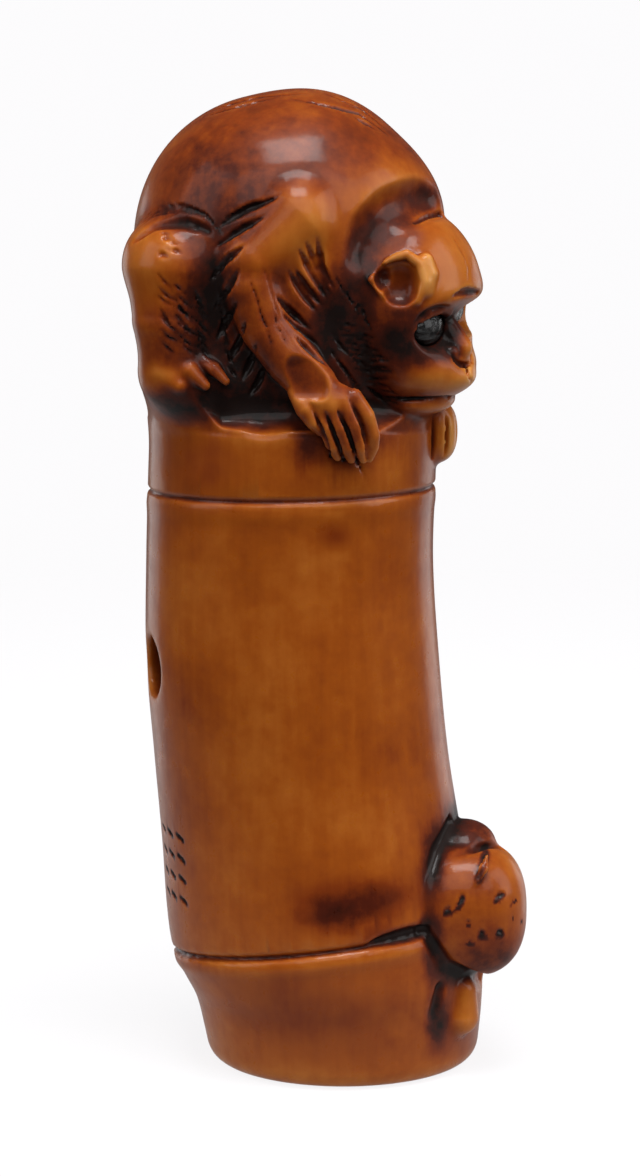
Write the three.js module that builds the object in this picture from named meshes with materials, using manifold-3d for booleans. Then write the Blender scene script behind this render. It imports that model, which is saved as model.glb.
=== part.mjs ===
// Netsuke: a monkey crouching on a section of bamboo, with a small spotted animal clinging low on its side.
//
// Millimetres, +Z up. The origin is the centre of the flat underside, -Y is the side where the monkey's
// right arm and leg show, and +X is the way its body points. The monkey turns its head towards -Y.
//
// The carving is one solid. It is sculpted as a distance field: every form below is a rounded lump, a
// tapered limb or a cut, joined smoothly to its neighbours, and the surface is where the field is zero.
// The two eyes are separate inlaid pieces, each in a socket.

import * as THREE from 'three';
import { SimplifyModifier } from 'three/addons/modifiers/SimplifyModifier.js';
import { mergeVertices } from 'three/addons/utils/BufferGeometryUtils.js';
import Module from 'manifold-3d';

// ---------------------------------------------------------------- driving dimensions

const GRID_STEP = 0.42;
const CARVING_TRIANGLES = 9300;
const FIELD_LOW = [-14.6, -11.2, -0.63];
const FIELD_HIGH = [12.4, 11.2, 60.2];

// The section of bamboo: height, left edge and right edge of each station, and its depth over its width.
const BAMBOO_STATIONS = [
  [-1.2, -7.9, 7.6], [0, -8.2, 7.9], [2, -8.6, 8.15], [4, -9.1, 8.3], [5.5, -9.85, 8.3],
  [7, -10.5, 8.1], [9.5, -10.85, 7.7], [13.5, -11.1, 7.05], [19, -11.55, 6.15], [25, -12.0, 5.55],
  [31, -11.95, 5.17], [36, -11.8, 5.3], [41, -11.6, 5.4],
];
const BAMBOO_DEPTH_RATIO = 0.965;
const UNDERSIDE_ROUNDING = 1.2;

// Each joint ring of the bamboo lies in a tilted plane: its height on the axis, its rise along X and Y.
const UPPER_RING = { height: 35.41, alongX: 0.0175, alongY: -0.041 };
const LOWER_RING = { height: 8.18, alongX: 0.122, alongY: -0.09 };
const RING_GROOVE_DEPTH = 0.5;
const RING_GROOVE_WIDTH = 0.34;
const RING_LIP_HEIGHT = 0.16;
const RING_LIP_DROP = 0.8;

// The open top of the bamboo: a thin wall round a floor, the mound of the floor under the monkey's chin,
// and the heights of the broken rim along X.
const TOP_FLOOR = 39.3;
const CHIN_MOUND = { x: 3.4, y: -3.6, radiusX: 3.0, radiusY: 2.7, rise: 1.5 };
const RIM_WALL = 1.0;
const RIM_STATIONS = [[-13, 40.9], [-8.8, 40.7], [-7.9, 40.2], [-7.3, 39.8], [-5.5, 39.7], [-2.0, 39.8],
  [1.2, 39.7], [2.4, 39.3], [7.0, 38.6]];

// The monkey's trunk: the rounded back, its crest, the scruff of the neck and the belly.
const BACK = { centre: [-3.5, 0.2, 49.5], radii: [9.15, 8.3, 9.3], power: 2.15 };
const CREST = { centre: [-2.3, 0, 53.2], radii: [5.2, 5.4, 5.5] };
const SCRUFF = { centre: [0, -0.6, 51.6], radii: [5.55, 6.2, 4.6] };
const BELLY = { centre: [-3.6, 0.2, 42.6], radii: [7.7, 7.1, 6.4] };

// Hollows cut in the trunk behind and in front of the near arm: [x, y, z, radius] along each.
const FLANK_HOLLOW = [[-8.0, -9.3, 50.6, 0.9], [-8.1, -9.2, 48.6, 1.7], [-7.7, -8.9, 46.2, 2.1],
  [-6.6, -8.9, 43.6, 2.4], [-5.0, -9.0, 41.4, 1.9]];
const CHEST_HOLLOW = [[-1.6, -9.6, 49.2, 0.9], [-1.4, -9.5, 47.2, 1.9], [0.3, -9.2, 44.8, 2.3],
  [1.9, -9.2, 42.4, 1.8]];

// Near leg: knee, shin, the seat of the foot on the rim, and three toes.
const KNEE = { centre: [-9.85, -3.9, 49.3], radii: [3.2, 3.7, 2.9] };
const SHIN = [[-9.95, -4.6, 48.6, 2.95], [-10.15, -5.0, 46.0, 2.4], [-10.0, -4.9, 43.4, 2.05]];
const FOOT = { centre: [-8.9, -3.5, 42.0], radii: [2.9, 3.3, 1.9] };
const TOES = [
  [[-11.5, -5.3, 42.8, 0.38], [-10.6, -6.2, 43.05, 0.62], [-9.7, -6.9, 42.3, 0.4]],
  [[-10.0, -6.3, 43.6, 0.3], [-9.1, -6.85, 43.2, 0.46], [-8.2, -7.2, 42.35, 0.3]],
  [[-8.5, -6.5, 43.8, 0.3], [-7.7, -6.95, 43.3, 0.38], [-7.0, -7.25, 42.6, 0.3]],
];

// Near arm, hand and fingers, the flat facet on the forearm, and the gaps between the fingers.
const ARM = [[-2.9, -5.7, 51.8, 2.9], [-5.3, -6.5, 49.6, 2.3], [-5.4, -6.9, 48.2, 1.95],
  [-4.6, -7.3, 45.8, 1.6], [-3.2, -7.7, 43.9, 1.5], [-1.9, -8.05, 42.5, 1.35]];
const PALM = { centre: [-0.9, -8.3, 41.5], radii: [1.6, 1.0, 1.2] };
const FINGERS = [
  [[-2.9, -8.5, 42.2, 0.55], [-2.45, -8.75, 41.2, 0.55], [-1.95, -8.75, 40.4, 0.42], [-1.6, -8.6, 39.8, 0.22]],
  [[-1.6, -8.6, 41.3, 0.5], [-1.2, -8.75, 40.1, 0.46], [-0.8, -8.6, 39.0, 0.42], [-0.6, -8.35, 38.5, 0.3]],
  [[-0.9, -8.75, 41.5, 0.5], [-0.42, -8.85, 40.1, 0.48], [0.0, -8.6, 38.9, 0.42], [0.2, -8.3, 38.4, 0.3]],
  [[-0.2, -8.7, 41.7, 0.5], [0.38, -8.8, 40.3, 0.48], [0.78, -8.55, 38.9, 0.42], [0.9, -8.25, 38.4, 0.3]],
  [[0.4, -8.5, 41.9, 0.48], [1.15, -8.55, 40.8, 0.46], [1.5, -8.35, 39.6, 0.42], [1.4, -8.1, 38.6, 0.32]],
];
const FOREARM_FACET = { centre: [-2.3, -10.15, 43.1], radii: [1.45, 1.3, 1.5], power: 4 };
const FINGER_GAPS = {
  lines: [
    [[-1.9, 41.1], [-1.5, 40.2], [-1.15, 39.2], [-0.95, 38.6]],
    [[-1.25, 41.15], [-0.88, 40.2], [-0.4, 39.0], [-0.2, 38.4]],
    [[-0.65, 41.35], [0.0, 40.1], [0.45, 38.8], [0.6, 38.2]],
    [[0.15, 41.8], [0.75, 40.6], [1.1, 39.3], [1.15, 38.4]],
  ],
  y: -9.4,
  radii: [0.05, 0.22, 0.22, 0.18],
  sink: 0.4,
};

// Wedges that leave the arm's fur in pointed locks on both sides: [x, z] along each.
const FUR_WEDGES = {
  lines: [
    [[-4.0, 53.3], [-5.7, 52.75], [-7.4, 51.7]], [[-4.7, 52.25], [-6.3, 51.4], [-7.6, 50.5]],
    [[-5.9, 50.5], [-7.0, 49.7], [-7.9, 48.6]], [[-6.2, 49.2], [-6.9, 48.0], [-7.7, 47.0]],
    [[-6.3, 47.3], [-6.9, 46.4], [-7.6, 45.2]], [[-5.8, 46.2], [-6.3, 45.0], [-6.9, 43.9]],
    [[-5.2, 44.9], [-5.6, 43.9], [-6.1, 42.8]], [[-4.75, 43.8], [-5.1, 42.8], [-5.7, 41.9]],
    [[-4.1, 47.6], [-3.2, 46.7], [-2.2, 45.8]], [[-3.4, 49.1], [-2.6, 47.9], [-1.8, 46.8]],
    [[-3.0, 49.2], [-2.4, 48.2], [-1.5, 47.2]], [[-2.8, 50.35], [-2.0, 48.9], [-1.2, 47.6]],
    [[-2.4, 50.75], [-1.6, 49.0], [-1.0, 47.8]], [[-1.75, 51.0], [-1.45, 49.2], [-0.8, 48.2]],
    [[-3.7, 46.6], [-2.7, 45.7], [-1.7, 44.8]], [[-3.0, 45.3], [-2.1, 44.4], [-1.2, 43.6]],
  ],
  y: -8.0,
  radii: [0.05, 0.26, 0.23, 0.05],
  sink: 0.2,
};

// Far arm, with its fist over the edge of the bamboo, and the plainer far leg.
const FAR_ARM = [[-1.8, 5.4, 51.6, 2.9], [1.4, 6.2, 47.2, 2.2], [3.6, 4.6, 43.4, 1.8],
  [4.9, 1.6, 40.6, 1.35]];
const FAR_FIST = { centre: [5.25, -0.6, 38.75], radii: [1.4, 1.7, 1.9], power: 2.4 };
const FAR_KNEE = { centre: [-9.1, 4.2, 48.6], radii: [3.2, 3.3, 2.9] };
const FAR_SHIN = [[-9.2, 4.8, 47.8, 2.7], [-9.3, 5.3, 45.2, 2.2], [-9.2, 5.2, 43.0, 1.8]];
const FAR_FOOT = { centre: [-9.0, 4.4, 41.3], radii: [2.7, 3.7, 1.5] };
const FAR_TOES = [
  [[-10.6, 5.6, 43.2, 0.55], [-9.6, 7.4, 42.0, 0.45]],
  [[-9.4, 6.2, 43.2, 0.55], [-8.2, 7.9, 42.0, 0.45]],
  [[-8.2, 6.6, 43.2, 0.55], [-6.8, 7.9, 42.0, 0.45]],
];

// Head. Face forms are given in the head's own frame: forward, towards the near side, and up.
const HEAD_ORIGIN = [3.6, -2.9, 46.0];
const HEAD_TURN = THREE.MathUtils.degToRad(28);
const SKULL = { centre: [-0.1, 0, 1.1], radii: [4.45, 4.7, 5.3] };
const CHEEKS = { centre: [0.7, 0, -2.5], radii: [2.8, 3.8, 2.8] };
const BROW = { centre: [2.5, 0, 1.6], radii: [1.35, 2.8, 0.8] };
const EYE_BAND = { centre: [5.1, 0, -0.75], radii: [2.35, 3.7, 1.8], power: 2.3 };
const MUZZLE = { centre: [1.9, 0, -3.05], radii: [2.05, 3.2, 1.75] };
const UPPER_LIP = { centre: [2.5, 0, -3.45], radii: [1.75, 1.8, 0.95] };
const JAW = { centre: [1.1, 0, -5.0], radii: [1.6, 2.6, 0.85] };
const NOSE = [[2.25, 0, 0.6, 0.65], [2.45, 0, -0.3, 0.6], [3.05, 0, -1.1, 0.66], [3.45, 0, -1.75, 0.72]];
const MOUTH = [[0.2, 3.55, -4.6, 0.14], [1.5, 3.15, -4.55, 0.2], [2.6, 2.1, -4.5, 0.22],
  [3.2, 0.7, -4.42, 0.22], [3.2, -0.7, -4.42, 0.22], [2.6, -2.1, -4.5, 0.22], [1.5, -3.15, -4.55, 0.2]];
const UNDER_NOSE = [[4.1, 0.6, -2.62, 0.26], [4.2, -0.6, -2.62, 0.26]];
const BROW_SLIT = { lines: [[[6.05, 47.15], [6.5, 47.38], [6.95, 47.53], [7.7, 47.6]]], y: -5,
  radii: [0.1, 0.25, 0.28, 0.18], sink: 0.15 };

// The eyes. The head leans, so the near eye is the lower one, and the far one is set further back.
const EYE_PLACE = { forward: 2.25, side: 1.95, up: -0.12 };
const EYE_ROLL = 0.3;
const FAR_EYE_BACK = 0.6;
const EYE_RADII = [0.75, 1.5, 1.05];
const EYE_GAP = 0.3;
const SOCKET = { forward: 1.0, outward: 0.55, radii: [1.3, 1.85, 1.4] };

// The near ear's raised rim, flap and hollow, and the far ear, plainer and set further back.
const EAR_RIM = [[1.4, -7.3, 48.55, 0.3], [2.2, -7.15, 49.65, 0.3], [3.45, -7.1, 50.0, 0.3],
  [4.25, -7.15, 49.4, 0.36], [4.5, -7.35, 48.4, 0.36], [4.1, -7.45, 47.3, 0.25], [2.0, -7.3, 47.7, 0.2],
  [1.4, -7.3, 48.55, 0.3]];
const EAR_FLAP = [[4.55, -6.85, 49.6, 0.42], [4.75, -6.95, 48.8, 0.5], [4.6, -7.15, 47.9, 0.4]];
const EAR_HOLLOWS = [
  { centre: [3.05, -7.95, 48.35], radii: [1.1, 1.35, 1.4], power: 2.4 },
  { centre: [2.25, -7.75, 48.6], radii: [0.75, 1.2, 0.85] },
];
const FAR_EAR = { centre: [-0.8, -4.25, 2.55], radii: [1.7, 1.0, 1.7] };
const FAR_EAR_HOLLOW = { centre: [-0.95, -5.2, 2.5], radii: [1.25, 1.0, 1.25] };

// The hollow band behind the crown, and the slit under its ridge.
const NECK_BAND = { lines: [[[1.0, 49.4], [1.7, 51.0], [3.0, 52.5], [4.6, 53.3], [5.7, 53.2]]], y: -5.5,
  radii: [0.5, 0.9, 0.95, 0.8, 0.6], sink: -0.95 };
const NECK_SLIT = { lines: [[[3.9, 51.6], [4.8, 52.2], [5.5, 52.4], [6.2, 52.45]]], y: -5.5,
  radii: [0.1, 0.25, 0.28, 0.28], sink: 0.3 };

// The crease above the knee.
const KNEE_CREASE = { lines: [[[-12.3, 50.7], [-11.1, 51.6], [-9.4, 51.7], [-8.0, 51.1]]], y: -6,
  radii: [0.1, 0.22, 0.22, 0.1], sink: -0.6 };

// The small spotted animal: body, haunch, head lump and drop-shaped paws, and the deep cuts round it.
const SMALL_BODY = { centre: [7.15, -3.2, 10.1], radii: [3.75, 3.75, 4.1], power: 2.5 };
const UNDER_SMALL_BODY = { centre: [13.3, -4.6, 4.7], radii: [3.1, 4.2, 3.8] };
const SMALL_HAUNCH = { centre: [7.0, 0.8, 8.6], radii: [3.0, 3.2, 3.2] };
const SMALL_HEAD = { centre: [7.1, -1.9, 13.7], radii: [2.0, 2.3, 1.5] };
const SMALL_PAW = [[6.9, -4.2, 5.2, 1.0], [6.8, -4.3, 3.7, 1.25]];
const SMALL_FAR_PAW = [[7.2, 3.4, 5.2, 0.6], [7.0, 3.8, 3.8, 0.9]];
const CUTS_ROUND_SMALL_ANIMAL = [
  [[6.3, -2.9, 15.4, 0.35], [5.5, -5.1, 14.2, 0.45], [4.95, -6.5, 12.8, 0.3]],
  [[4.8, -6.9, 11.0, 0.2], [4.75, -6.9, 9.6, 0.32]],
  [[4.95, -6.8, 9.1, 0.36], [6.0, -6.5, 7.3, 0.5], [7.5, -5.4, 6.1, 0.75], [8.6, -3.4, 5.4, 0.8],
    [8.8, -1.0, 5.2, 0.8]],
  [[5.7, -6.3, 5.9, 0.4], [5.5, -6.9, 4.4, 0.6], [5.9, -6.9, 3.0, 0.5], [6.6, -6.6, 2.5, 0.3]],
  [[5.5, -6.0, 14.1, 0.25], [7.3, -5.0, 14.2, 0.3], [9.5, -2.4, 13.6, 0.35]],
];

// The cord channel: in at the left edge of the bamboo, bent inside, out at the back.
const CORD_CHANNEL = [[-13.4, -2.9, 24.7, 1.85], [-8.6, -0.2, 24.7, 1.7], [-6.8, 4.6, 24.7, 1.7],
  [-6.9, 10.2, 24.7, 1.9]];

// The direction in which the near side is looked at: grooves given by x and z are laid along it.
const SIGHT = [0, 0.983, -0.182];
const SIGHT_START = 8;
const SIGHT_TRAVEL = 20;
const SIGHT_STEP = 0.05;

const CARVING_COLOUR = 0xa55a1e;
const EYE_COLOUR = 0x14130f;

// ---------------------------------------------------------------- field helpers

const mix = (a, b, t) => a + (b - a) * t;
const clamp01 = (t) => Math.min(1, Math.max(0, t));

// Smooth union and smooth cut of two distances, rounded over about the given width.
function join(a, b, width) {
  const h = Math.max(width - Math.abs(a - b), 0) / width;
  return Math.min(a, b) - h * h * width / 4;
}
const cut = (a, b, width) => -join(-a, b, width);

// Distance to an ellipsoid; a power above 2 makes it boxier.
function lump([x, y, z], { centre, radii, power = 2 }) {
  const u = Math.abs(x - centre[0]) / radii[0];
  const v = Math.abs(y - centre[1]) / radii[1];
  const w = Math.abs(z - centre[2]) / radii[2];
  const size = Math.pow(u ** power + v ** power + w ** power, 1 / power) + 1e-9;
  const steep = Math.hypot(u ** (power - 1) / radii[0], v ** (power - 1) / radii[1],
    w ** (power - 1) / radii[2]) * size ** (1 - power);
  return (size - 1) / steep;
}

// Distance to one tapered round-ended stretch from a to b, each [x, y, z, radius].
function stretch([x, y, z], a, b) {
  const along = [b[0] - a[0], b[1] - a[1], b[2] - a[2]];
  const away = [x - a[0], y - a[1], z - a[2]];
  const dot = away[0] * along[0] + away[1] * along[1] + away[2] * along[2];
  const t = clamp01(dot / (along[0] ** 2 + along[1] ** 2 + along[2] ** 2));
  const reach = Math.hypot(away[0] - along[0] * t, away[1] - along[1] * t, away[2] - along[2] * t);
  return reach - mix(a[3], b[3], t);
}

// Distance to a chain of stretches.
function limb(point, joints) {
  let nearest = Infinity;
  for (let i = 1; i < joints.length; i++) {
    nearest = Math.min(nearest, stretch(point, joints[i - 1], joints[i]));
  }
  return nearest;
}

// A smooth curve through the stations' values, as [left, right] at a height.
function bambooEdges(z) {
  const last = BAMBOO_STATIONS.length - 1;
  let i = 1;
  while (i < last && BAMBOO_STATIONS[i][0] < z) i++;
  const [before, from, to, after] = [Math.max(i - 2, 0), i - 1, i, Math.min(i + 1, last)]
    .map((k) => BAMBOO_STATIONS[k]);
  const span = to[0] - from[0];
  const t = clamp01((z - from[0]) / span);
  return [1, 2].map((side) => {
    const slopeFrom = (to[side] - before[side]) / (to[0] - before[0]) * span;
    const slopeTo = (after[side] - from[side]) / (after[0] - from[0]) * span;
    return from[side] * (1 + 2 * t) * (1 - t) ** 2 + slopeFrom * t * (1 - t) ** 2
      + to[side] * t * t * (3 - 2 * t) + slopeTo * t * t * (t - 1);
  });
}

// ---------------------------------------------------------------- the forms

const heightAboveRing = ([x, y, z], ring) => z - ring.height - ring.alongX * x - ring.alongY * y;

// The round side of the bamboo, without its rings.
function bambooSide([x, y, z]) {
  const [left, right] = bambooEdges(z);
  const half = (right - left) / 2;
  const u = x - (left + right) / 2;
  const v = y / BAMBOO_DEPTH_RATIO;
  return Math.hypot(u, v) - half;
}

// A V groove at the ring with a slightly proud lip below it.
function ringRelief(point, ring) {
  const above = heightAboveRing(point, ring);
  const groove = RING_GROOVE_DEPTH * Math.max(0, 1 - Math.abs(above) / RING_GROOVE_WIDTH);
  const lip = RING_LIP_HEIGHT * Math.exp(-(((above + RING_LIP_DROP) / (RING_LIP_DROP * 0.6)) ** 2));
  return groove - lip;
}

// The top edge of the wall at x, between the stations of the broken rim.
function rimHeight(x) {
  const next = RIM_STATIONS.findIndex(([station]) => station > x);
  if (next === -1) return RIM_STATIONS.at(-1)[1];
  if (next === 0) return RIM_STATIONS[0][1];
  const [from, to] = [RIM_STATIONS[next - 1], RIM_STATIONS[next]];
  return mix(from[1], to[1], (x - from[0]) / (to[0] - from[0]));
}

function floorHeight(x, y) {
  const { x: moundX, y: moundY, radiusX, radiusY, rise } = CHIN_MOUND;
  return TOP_FLOOR + rise * Math.exp(-(((x - moundX) / radiusX) ** 2) - ((y - moundY) / radiusY) ** 2);
}

function bamboo(point) {
  const [x, y, z] = point;
  const side = bambooSide(point);
  const relief = ringRelief(point, UPPER_RING) + ringRelief(point, LOWER_RING);
  const wall = Math.max(side, -side - RIM_WALL, z - rimHeight(x));
  const section = Math.max(side, z - floorHeight(x, y));
  return cut(join(section, wall, 0.3) + relief, z, UNDERSIDE_ROUNDING);
}

function withTrunk(d, point) {
  d = join(d, lump(point, BACK), 0.4);
  d = join(d, lump(point, CREST), 1.2);
  d = join(d, lump(point, SCRUFF), 1.2);
  d = join(d, lump(point, BELLY), 2.4);
  d = cut(d, limb(point, FLANK_HOLLOW), 0.7);
  return cut(d, limb(point, CHEST_HOLLOW), 0.6);
}

function withNearLeg(d, point) {
  d = join(d, lump(point, KNEE), 0.8);
  d = join(d, limb(point, SHIN), 0.8);
  d = join(d, lump(point, FOOT), 0.9);
  for (const toe of TOES) d = join(d, limb(point, toe), 0.3);
  return d;
}

function withFarLimbs(d, point) {
  d = join(d, limb(point, FAR_ARM), 0.8);
  d = join(d, lump(point, FAR_FIST), 0.5);
  d = join(d, lump(point, FAR_KNEE), 0.8);
  d = join(d, limb(point, FAR_SHIN), 0.8);
  d = join(d, lump(point, FAR_FOOT), 1.0);
  for (const toe of FAR_TOES) d = join(d, limb(point, toe), 0.2);
  return d;
}

// A point in the head's own frame: forward, towards the near side, up.
function toHead([x, y, z]) {
  const dx = x - HEAD_ORIGIN[0];
  const dy = y - HEAD_ORIGIN[1];
  const forward = dx * Math.cos(HEAD_TURN) - dy * Math.sin(HEAD_TURN);
  const side = -dx * Math.sin(HEAD_TURN) - dy * Math.cos(HEAD_TURN);
  return [forward, side, z - HEAD_ORIGIN[2]];
}

// An eye's centre in the head's frame: near is 1 for the near eye and -1 for the far one.
function eyeCentre(near) {
  const back = near > 0 ? 0 : FAR_EYE_BACK;
  return [EYE_PLACE.forward - back, near * EYE_PLACE.side, EYE_PLACE.up - near * EYE_ROLL];
}

function withEyeSockets(d, p) {
  for (const near of [1, -1]) {
    const [forward, side, up] = eyeCentre(near);
    const centre = [forward + SOCKET.forward, side + near * SOCKET.outward, up];
    d = cut(d, lump(p, { centre, radii: SOCKET.radii }), 0.3);
  }
  return d;
}

function withHead(d, point) {
  const p = toHead(point);
  d = join(d, lump(p, SKULL), 0.5);
  d = join(d, lump(p, CHEEKS), 1.4);
  d = join(d, lump(p, BROW), 0.8);
  d = cut(d, lump(p, EYE_BAND), 1.2);
  d = withEyeSockets(d, p);
  d = join(d, lump(p, MUZZLE), 0.6);
  d = join(d, lump(p, UPPER_LIP), 0.5);
  d = join(d, lump(p, JAW), 0.3);
  d = join(d, limb(p, NOSE), 0.3);
  for (const near of [1, -1]) {
    d = cut(d, lump(p, { centre: eyeCentre(near), radii: EYE_RADII.map((radius) => radius + EYE_GAP) }), 0.05);
  }
  for (const groove of [MOUTH, UNDER_NOSE]) d = cut(d, limb(p, groove), 0.1);
  d = join(d, limb(point, EAR_RIM), 0.2);
  d = join(d, limb(point, EAR_FLAP), 0.25);
  for (const hollow of EAR_HOLLOWS) d = cut(d, lump(point, hollow), 0.08);
  d = join(d, lump(p, FAR_EAR), 0.3);
  return cut(d, lump(p, FAR_EAR_HOLLOW), 0.15);
}

function withNearArm(d, point) {
  d = join(d, limb(point, ARM), 0.4);
  d = join(d, lump(point, PALM), 0.4);
  for (const finger of FINGERS) d = join(d, limb(point, finger), 0.12);
  return cut(d, lump(point, FOREARM_FACET), 0.1);
}

function withSmallAnimal(d, point) {
  d = join(d, lump(point, SMALL_BODY), 0.5);
  d = cut(d, lump(point, UNDER_SMALL_BODY), 0.6);
  d = join(d, lump(point, SMALL_HAUNCH), 1.2);
  d = join(d, lump(point, SMALL_HEAD), 0.3);
  for (const groove of CUTS_ROUND_SMALL_ANIMAL) d = cut(d, limb(point, groove), 0.25);
  d = join(d, limb(point, SMALL_PAW), 0.45);
  return join(d, limb(point, SMALL_FAR_PAW), 0.5);
}

// The carving before its grooves: negative inside.
function rounded(point) {
  let d = withTrunk(bamboo(point), point);
  d = withNearLeg(d, point);
  d = withFarLimbs(d, point);
  d = withHead(d, point);
  d = withNearArm(d, point);
  d = withSmallAnimal(d, point);
  return cut(d, limb(point, CORD_CHANNEL), 0.5);
}

// Where the sight line through (x, y, z) first meets the rounded carving.
function seenAt([x, y, z]) {
  for (let run = -SIGHT_START; run < SIGHT_TRAVEL; run += SIGHT_STEP) {
    const place = [x + SIGHT[0] * run, y + SIGHT[1] * run, z + SIGHT[2] * run];
    if (rounded(place) < 0) return place;
  }
  return [x, y, z];
}

// Joints of a groove laid on the carving: sink is how far its centre lies inside, in its own radii.
function layGroove(line, { y, radii, sink }) {
  const curve = new THREE.CatmullRomCurve3(line.map(([x, z]) => new THREE.Vector3(x, y, z)));
  return radii.map((radius, i) => {
    const place = seenAt(curve.getPoint(i / (radii.length - 1)).toArray());
    return [...place.map((v, axis) => v + SIGHT[axis] * radius * sink), radius];
  });
}

const layGrooves = (grooves) => grooves.lines.map((line) => layGroove(line, grooves));
const SOFT_GROOVES = layGrooves(NECK_BAND);
const SHARP_GROOVES = [FINGER_GAPS, FUR_WEDGES, BROW_SLIT, NECK_SLIT, KNEE_CREASE].flatMap(layGrooves);

// The whole carving: negative inside.
function carving(point) {
  let d = rounded(point);
  for (const groove of SOFT_GROOVES) d = cut(d, limb(point, groove), 0.7);
  for (const groove of SHARP_GROOVES) d = cut(d, limb(point, groove), 0.1);
  return d;
}

// ---------------------------------------------------------------- field to mesh

// Each grid cell is six tetrahedra round its long diagonal; a corner is numbered by its x, y and z bits.
const TETRAHEDRA = [[0, 1, 3, 7], [0, 3, 2, 7], [0, 2, 6, 7], [0, 6, 4, 7], [0, 4, 5, 7], [0, 5, 1, 7]];

// Values of the field on the grid, kept a little away from zero so that no face is a sliver.
function sample(field, low, step, counts) {
  const values = new Float32Array(counts[0] * counts[1] * counts[2]);
  const least = step * 0.08;
  let n = 0;
  for (let k = 0; k < counts[2]; k++) {
    for (let j = 0; j < counts[1]; j++) {
      for (let i = 0; i < counts[0]; i++) {
        const value = field([low[0] + i * step, low[1] + j * step, low[2] + k * step]);
        values[n] = value < 0 ? Math.min(value, -least) : Math.max(value, least);
        n++;
      }
    }
  }
  return values;
}

// Marching tetrahedra: the closed surface where the field is zero.
function polygonise(field, low, high, step) {
  const counts = low.map((v, axis) => Math.ceil((high[axis] - v) / step) + 1);
  const strides = [1, counts[0], counts[0] * counts[1]];
  const values = sample(field, low, step, counts);
  const offsets = Array.from({ length: 8 }, (_, c) => (
    (c & 1) * strides[0] + ((c >> 1) & 1) * strides[1] + ((c >> 2) & 1) * strides[2]));
  const positions = [];
  const triangles = [];
  const vertexOfEdge = new Map();

  const placeOf = (n) => [
    low[0] + (n % counts[0]) * step,
    low[1] + (Math.floor(n / strides[1]) % counts[1]) * step,
    low[2] + Math.floor(n / strides[2]) * step,
  ];

  function crossing(cell, a, b) {
    const [from, to] = a < b ? [a, b] : [b, a];
    const start = cell + offsets[from];
    const key = start * 8 + (from ^ to);
    if (!vertexOfEdge.has(key)) {
      const end = cell + offsets[to];
      const t = values[start] / (values[start] - values[end]);
      const [p, q] = [placeOf(start), placeOf(end)];
      vertexOfEdge.set(key, positions.length / 3);
      positions.push(mix(p[0], q[0], t), mix(p[1], q[1], t), mix(p[2], q[2], t));
    }
    return vertexOfEdge.get(key);
  }

  // Adds a triangle, turned so that its front faces from the inside corner to the outside one.
  function addFace(corners, cell, inside, outside) {
    const [p, q, r] = corners.map((v) => new THREE.Vector3().fromArray(positions, v * 3));
    const outward = new THREE.Vector3(...placeOf(cell + offsets[outside]))
      .sub(new THREE.Vector3(...placeOf(cell + offsets[inside])));
    const facing = q.sub(p).cross(r.sub(p)).dot(outward);
    triangles.push(...(facing > 0 ? corners : [corners[0], corners[2], corners[1]]));
  }

  function addTetrahedron(cell, tetrahedron) {
    const inside = tetrahedron.filter((c) => values[cell + offsets[c]] < 0);
    const outside = tetrahedron.filter((c) => values[cell + offsets[c]] >= 0);
    if (!inside.length || !outside.length) return;
    const [a, b] = inside;
    const [c, d] = outside;
    if (inside.length === 1) {
      addFace(outside.map((o) => crossing(cell, a, o)), cell, a, c);
    } else if (outside.length === 1) {
      addFace(inside.map((i) => crossing(cell, i, c)), cell, a, c);
    } else {
      const [ac, ad, bd, bc] = [[a, c], [a, d], [b, d], [b, c]].map((e) => crossing(cell, ...e));
      addFace([ac, ad, bd], cell, a, c);
      addFace([ac, bd, bc], cell, a, c);
    }
  }

  for (let k = 0; k < counts[2] - 1; k++) {
    for (let j = 0; j < counts[1] - 1; j++) {
      for (let i = 0; i < counts[0] - 1; i++) {
        const cell = i + j * strides[1] + k * strides[2];
        const inside = offsets.filter((offset) => values[cell + offset] < 0).length;
        if (inside === 0 || inside === 8) continue;
        for (const tetrahedron of TETRAHEDRA) addTetrahedron(cell, tetrahedron);
      }
    }
  }
  const geometry = new THREE.BufferGeometry();
  geometry.setAttribute('position', new THREE.Float32BufferAttribute(positions, 3));
  geometry.setIndex(triangles);
  return geometry;
}

async function simplified(geometry, triangles) {
  const surplus = geometry.index.count / 3 - triangles;
  return new SimplifyModifier().modify(geometry, Math.floor(surplus / 2));
}

// ---------------------------------------------------------------- solids

const wasm = await Module();
wasm.setup();

function toSolid(geometry) {
  const bare = geometry.clone();
  for (const name of Object.keys(bare.attributes)) if (name !== 'position') bare.deleteAttribute(name);
  const merged = mergeVertices(bare, 1e-4);
  return new wasm.Manifold(new wasm.Mesh({
    numProp: 3,
    vertProperties: new Float32Array(merged.attributes.position.array),
    triVerts: new Uint32Array(merged.index.array),
  }));
}

function toGeometry(solid) {
  const { vertProperties, triVerts } = solid.getMesh();
  const geometry = new THREE.BufferGeometry();
  geometry.setAttribute('position', new THREE.BufferAttribute(vertProperties, 3));
  geometry.setIndex(new THREE.BufferAttribute(triVerts, 1));
  geometry.computeVertexNormals();
  return geometry;
}

function eyeBall(near) {
  const ball = new THREE.SphereGeometry(1, 14, 10);
  ball.scale(...EYE_RADII);
  ball.rotateZ(-HEAD_TURN);
  const [forward, side, up] = eyeCentre(near);
  ball.translate(
    HEAD_ORIGIN[0] + forward * Math.cos(HEAD_TURN) - side * Math.sin(HEAD_TURN),
    HEAD_ORIGIN[1] - forward * Math.sin(HEAD_TURN) - side * Math.cos(HEAD_TURN),
    HEAD_ORIGIN[2] + up,
  );
  return ball;
}

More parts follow.
